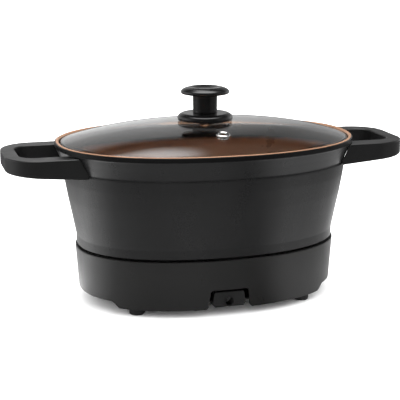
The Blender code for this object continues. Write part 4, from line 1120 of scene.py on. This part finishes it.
# upward component of the direction and share of that brightness, behind the pot and before it
BEHIND = [(0.0, 1.0), (0.22, 0.80), (0.28, 0.55), (0.50, 0.44), (0.545, 0.02), (0.60, 0.02),
          (0.66, 0.10), (0.74, 0.14), (0.82, 0.20), (1.0, 0.50)]
BEFORE = [(0.0, 0.40), (0.10, 0.50), (0.35, 0.50), (0.60, 0.25), (0.80, 0.20), (1.0, 0.50)]
# distance from the pot's middle and share of the floor's brightness in reflections: a pool of light
# painted on the table top near the pot
TABLE_PAINTED_LIGHT = [(0.0, 1.0), (0.20, 1.0), (0.27, 0.75), (0.40, 0.62), (0.60, 0.18), (1.0, 0.15)]
TABLE_GAIN = 1.5
OVERHEAD = (0.82, 0.95, 4.8)      # upward components where it fades in, and brightness
GLOW = (172, 51.5, 3, 7, 2.3)     # azimuth, elevation, radius and soft edge in degrees, brightness
FILL = 2.4
RAMP_TOP = 4.0               # the surroundings' brightness is stored in its ramp as a share of this
FLOOR_R = 9.0
FLOOR_LIFT = 0.45            # glow that the camera sees outside the base's footprint
# painted shade: the floor's colour for rays that come through the glass, painted dim
FLOOR_PAINTED_SHADE_THROUGH_GLASS = (0.128, 0.138, 0.144)


def surround_level(n):
    """Brightness of the surroundings in a direction, over RAMP_TOP."""
    axes = n.split()
    turn = n.math("ARCTAN2", axes["X"], n.math("MULTIPLY", axes["Y"], -1.0))
    share = n.math("ADD", n.math("DIVIDE", turn, 2 * math.pi), 0.5)
    return n.ramp(share, [((azimuth + 180) / 360, value / RAMP_TOP) for azimuth, value in SURROUND])


def make_floor():
    """Pale floor, painted dimmer for rays through the glass (painted shade) and, in reflections,
    painted with its surroundings' light and a lit patch near the pot (painted light).
    """
    bm = bmesh.new()
    bm.faces.new([bm.verts.new((x, y, 0)) for x, y in circle(0, 0, FLOOR_R, 96)])
    floor = as_object("floor", bm)
    n = material_nodes("pale_floor")
    tone = n.mix(n.noise(3.0), 0.91, 0.94)
    ray = n.add("ShaderNodeLightPath").outputs
    table = n.ramp(n.vector_math("LENGTH", n.coords), TABLE_PAINTED_LIGHT)
    # painted light: in reflections the floor's colour follows the surroundings' brightness and is
    # lifted near the pot
    mirrored = n.math("MULTIPLY", n.math("MULTIPLY", surround_level(n), table),
                      RAMP_TOP * TABLE_GAIN / FILL)
    oval = n.vector_math("LENGTH", n.scaled((1 / SHELL_HIGH.x, 1 / SHELL_HIGH.y, 0)))
    lift = n.math("MULTIPLY", ray["Is Camera Ray"], n.remap(oval, 1.0, 1.2, 0.0, FLOOR_LIFT))
    tone = n.mix(ray["Is Glossy Ray"], tone, mirrored)
    tone = n.mix(ray["Is Transmission Ray"], tone, FLOOR_PAINTED_SHADE_THROUGH_GLASS)
    floor.data.materials.append(n.set(Base_Color=tone, Roughness=0.8, Specular_IOR_Level=0.1,
                                      Emission_Color=1.0, Emission_Strength=lift))


def make_world():
    """White fill for diffuse light and the camera; bright sides and a dim front in reflections."""
    world = bpy.data.worlds.new("studio")
    bpy.context.scene.world = world
    world.cycles.sampling_method = "NONE"
    n = Nodes(world, "Generated")
    axes = n.split()
    behind = n.remap(axes["Y"], -0.35, 0.35, curve="SMOOTHSTEP")
    height = n.mix(behind, n.ramp(axes["Z"], BEFORE), n.ramp(axes["Z"], BEHIND))
    light = n.math("MULTIPLY", n.math("MULTIPLY", surround_level(n), height), RAMP_TOP)
    *angles, brightness = GLOW
    azimuth, elevation, radius, edge = (math.radians(a) for a in angles)
    towards = (math.sin(azimuth) * math.cos(elevation), -math.cos(azimuth) * math.cos(elevation),
               math.sin(elevation))
    glow = n.remap(n.vector_math("DOT_PRODUCT", n.coords, towards), math.cos(radius + edge),
                   math.cos(radius), 0.0, brightness, "SMOOTHSTEP")
    low, high, brightness = OVERHEAD
    lamp = n.remap(axes["Z"], low, high, 0.0, brightness, "SMOOTHSTEP")
    light = n.math("ADD", n.math("ADD", light, glow), lamp)
    ray = n.add("ShaderNodeLightPath").outputs
    mirrored = n.math("MAXIMUM", ray["Is Glossy Ray"], ray["Is Transmission Ray"])
    background = n.tree.nodes["Background"]
    n.plug(n.mix(mirrored, FILL, light), background.inputs["Color"])
    n.plug(1.0, background.inputs["Strength"])


def make_everything():
    for make in (make_camera, make_floor, make_world, make_pot, make_handles, make_screws,
                 make_glass, make_vent, make_knob, make_shell, make_deck, make_gland, make_cover,
                 make_feet, make_heating_plate, make_spring, make_selector, make_dial_marks,
                 make_lamp, dress_carried_over):
        make()


make_everything()
bpy.context.scene.view_settings.view_transform = "Standard"
bpy.context.view_layer.update()
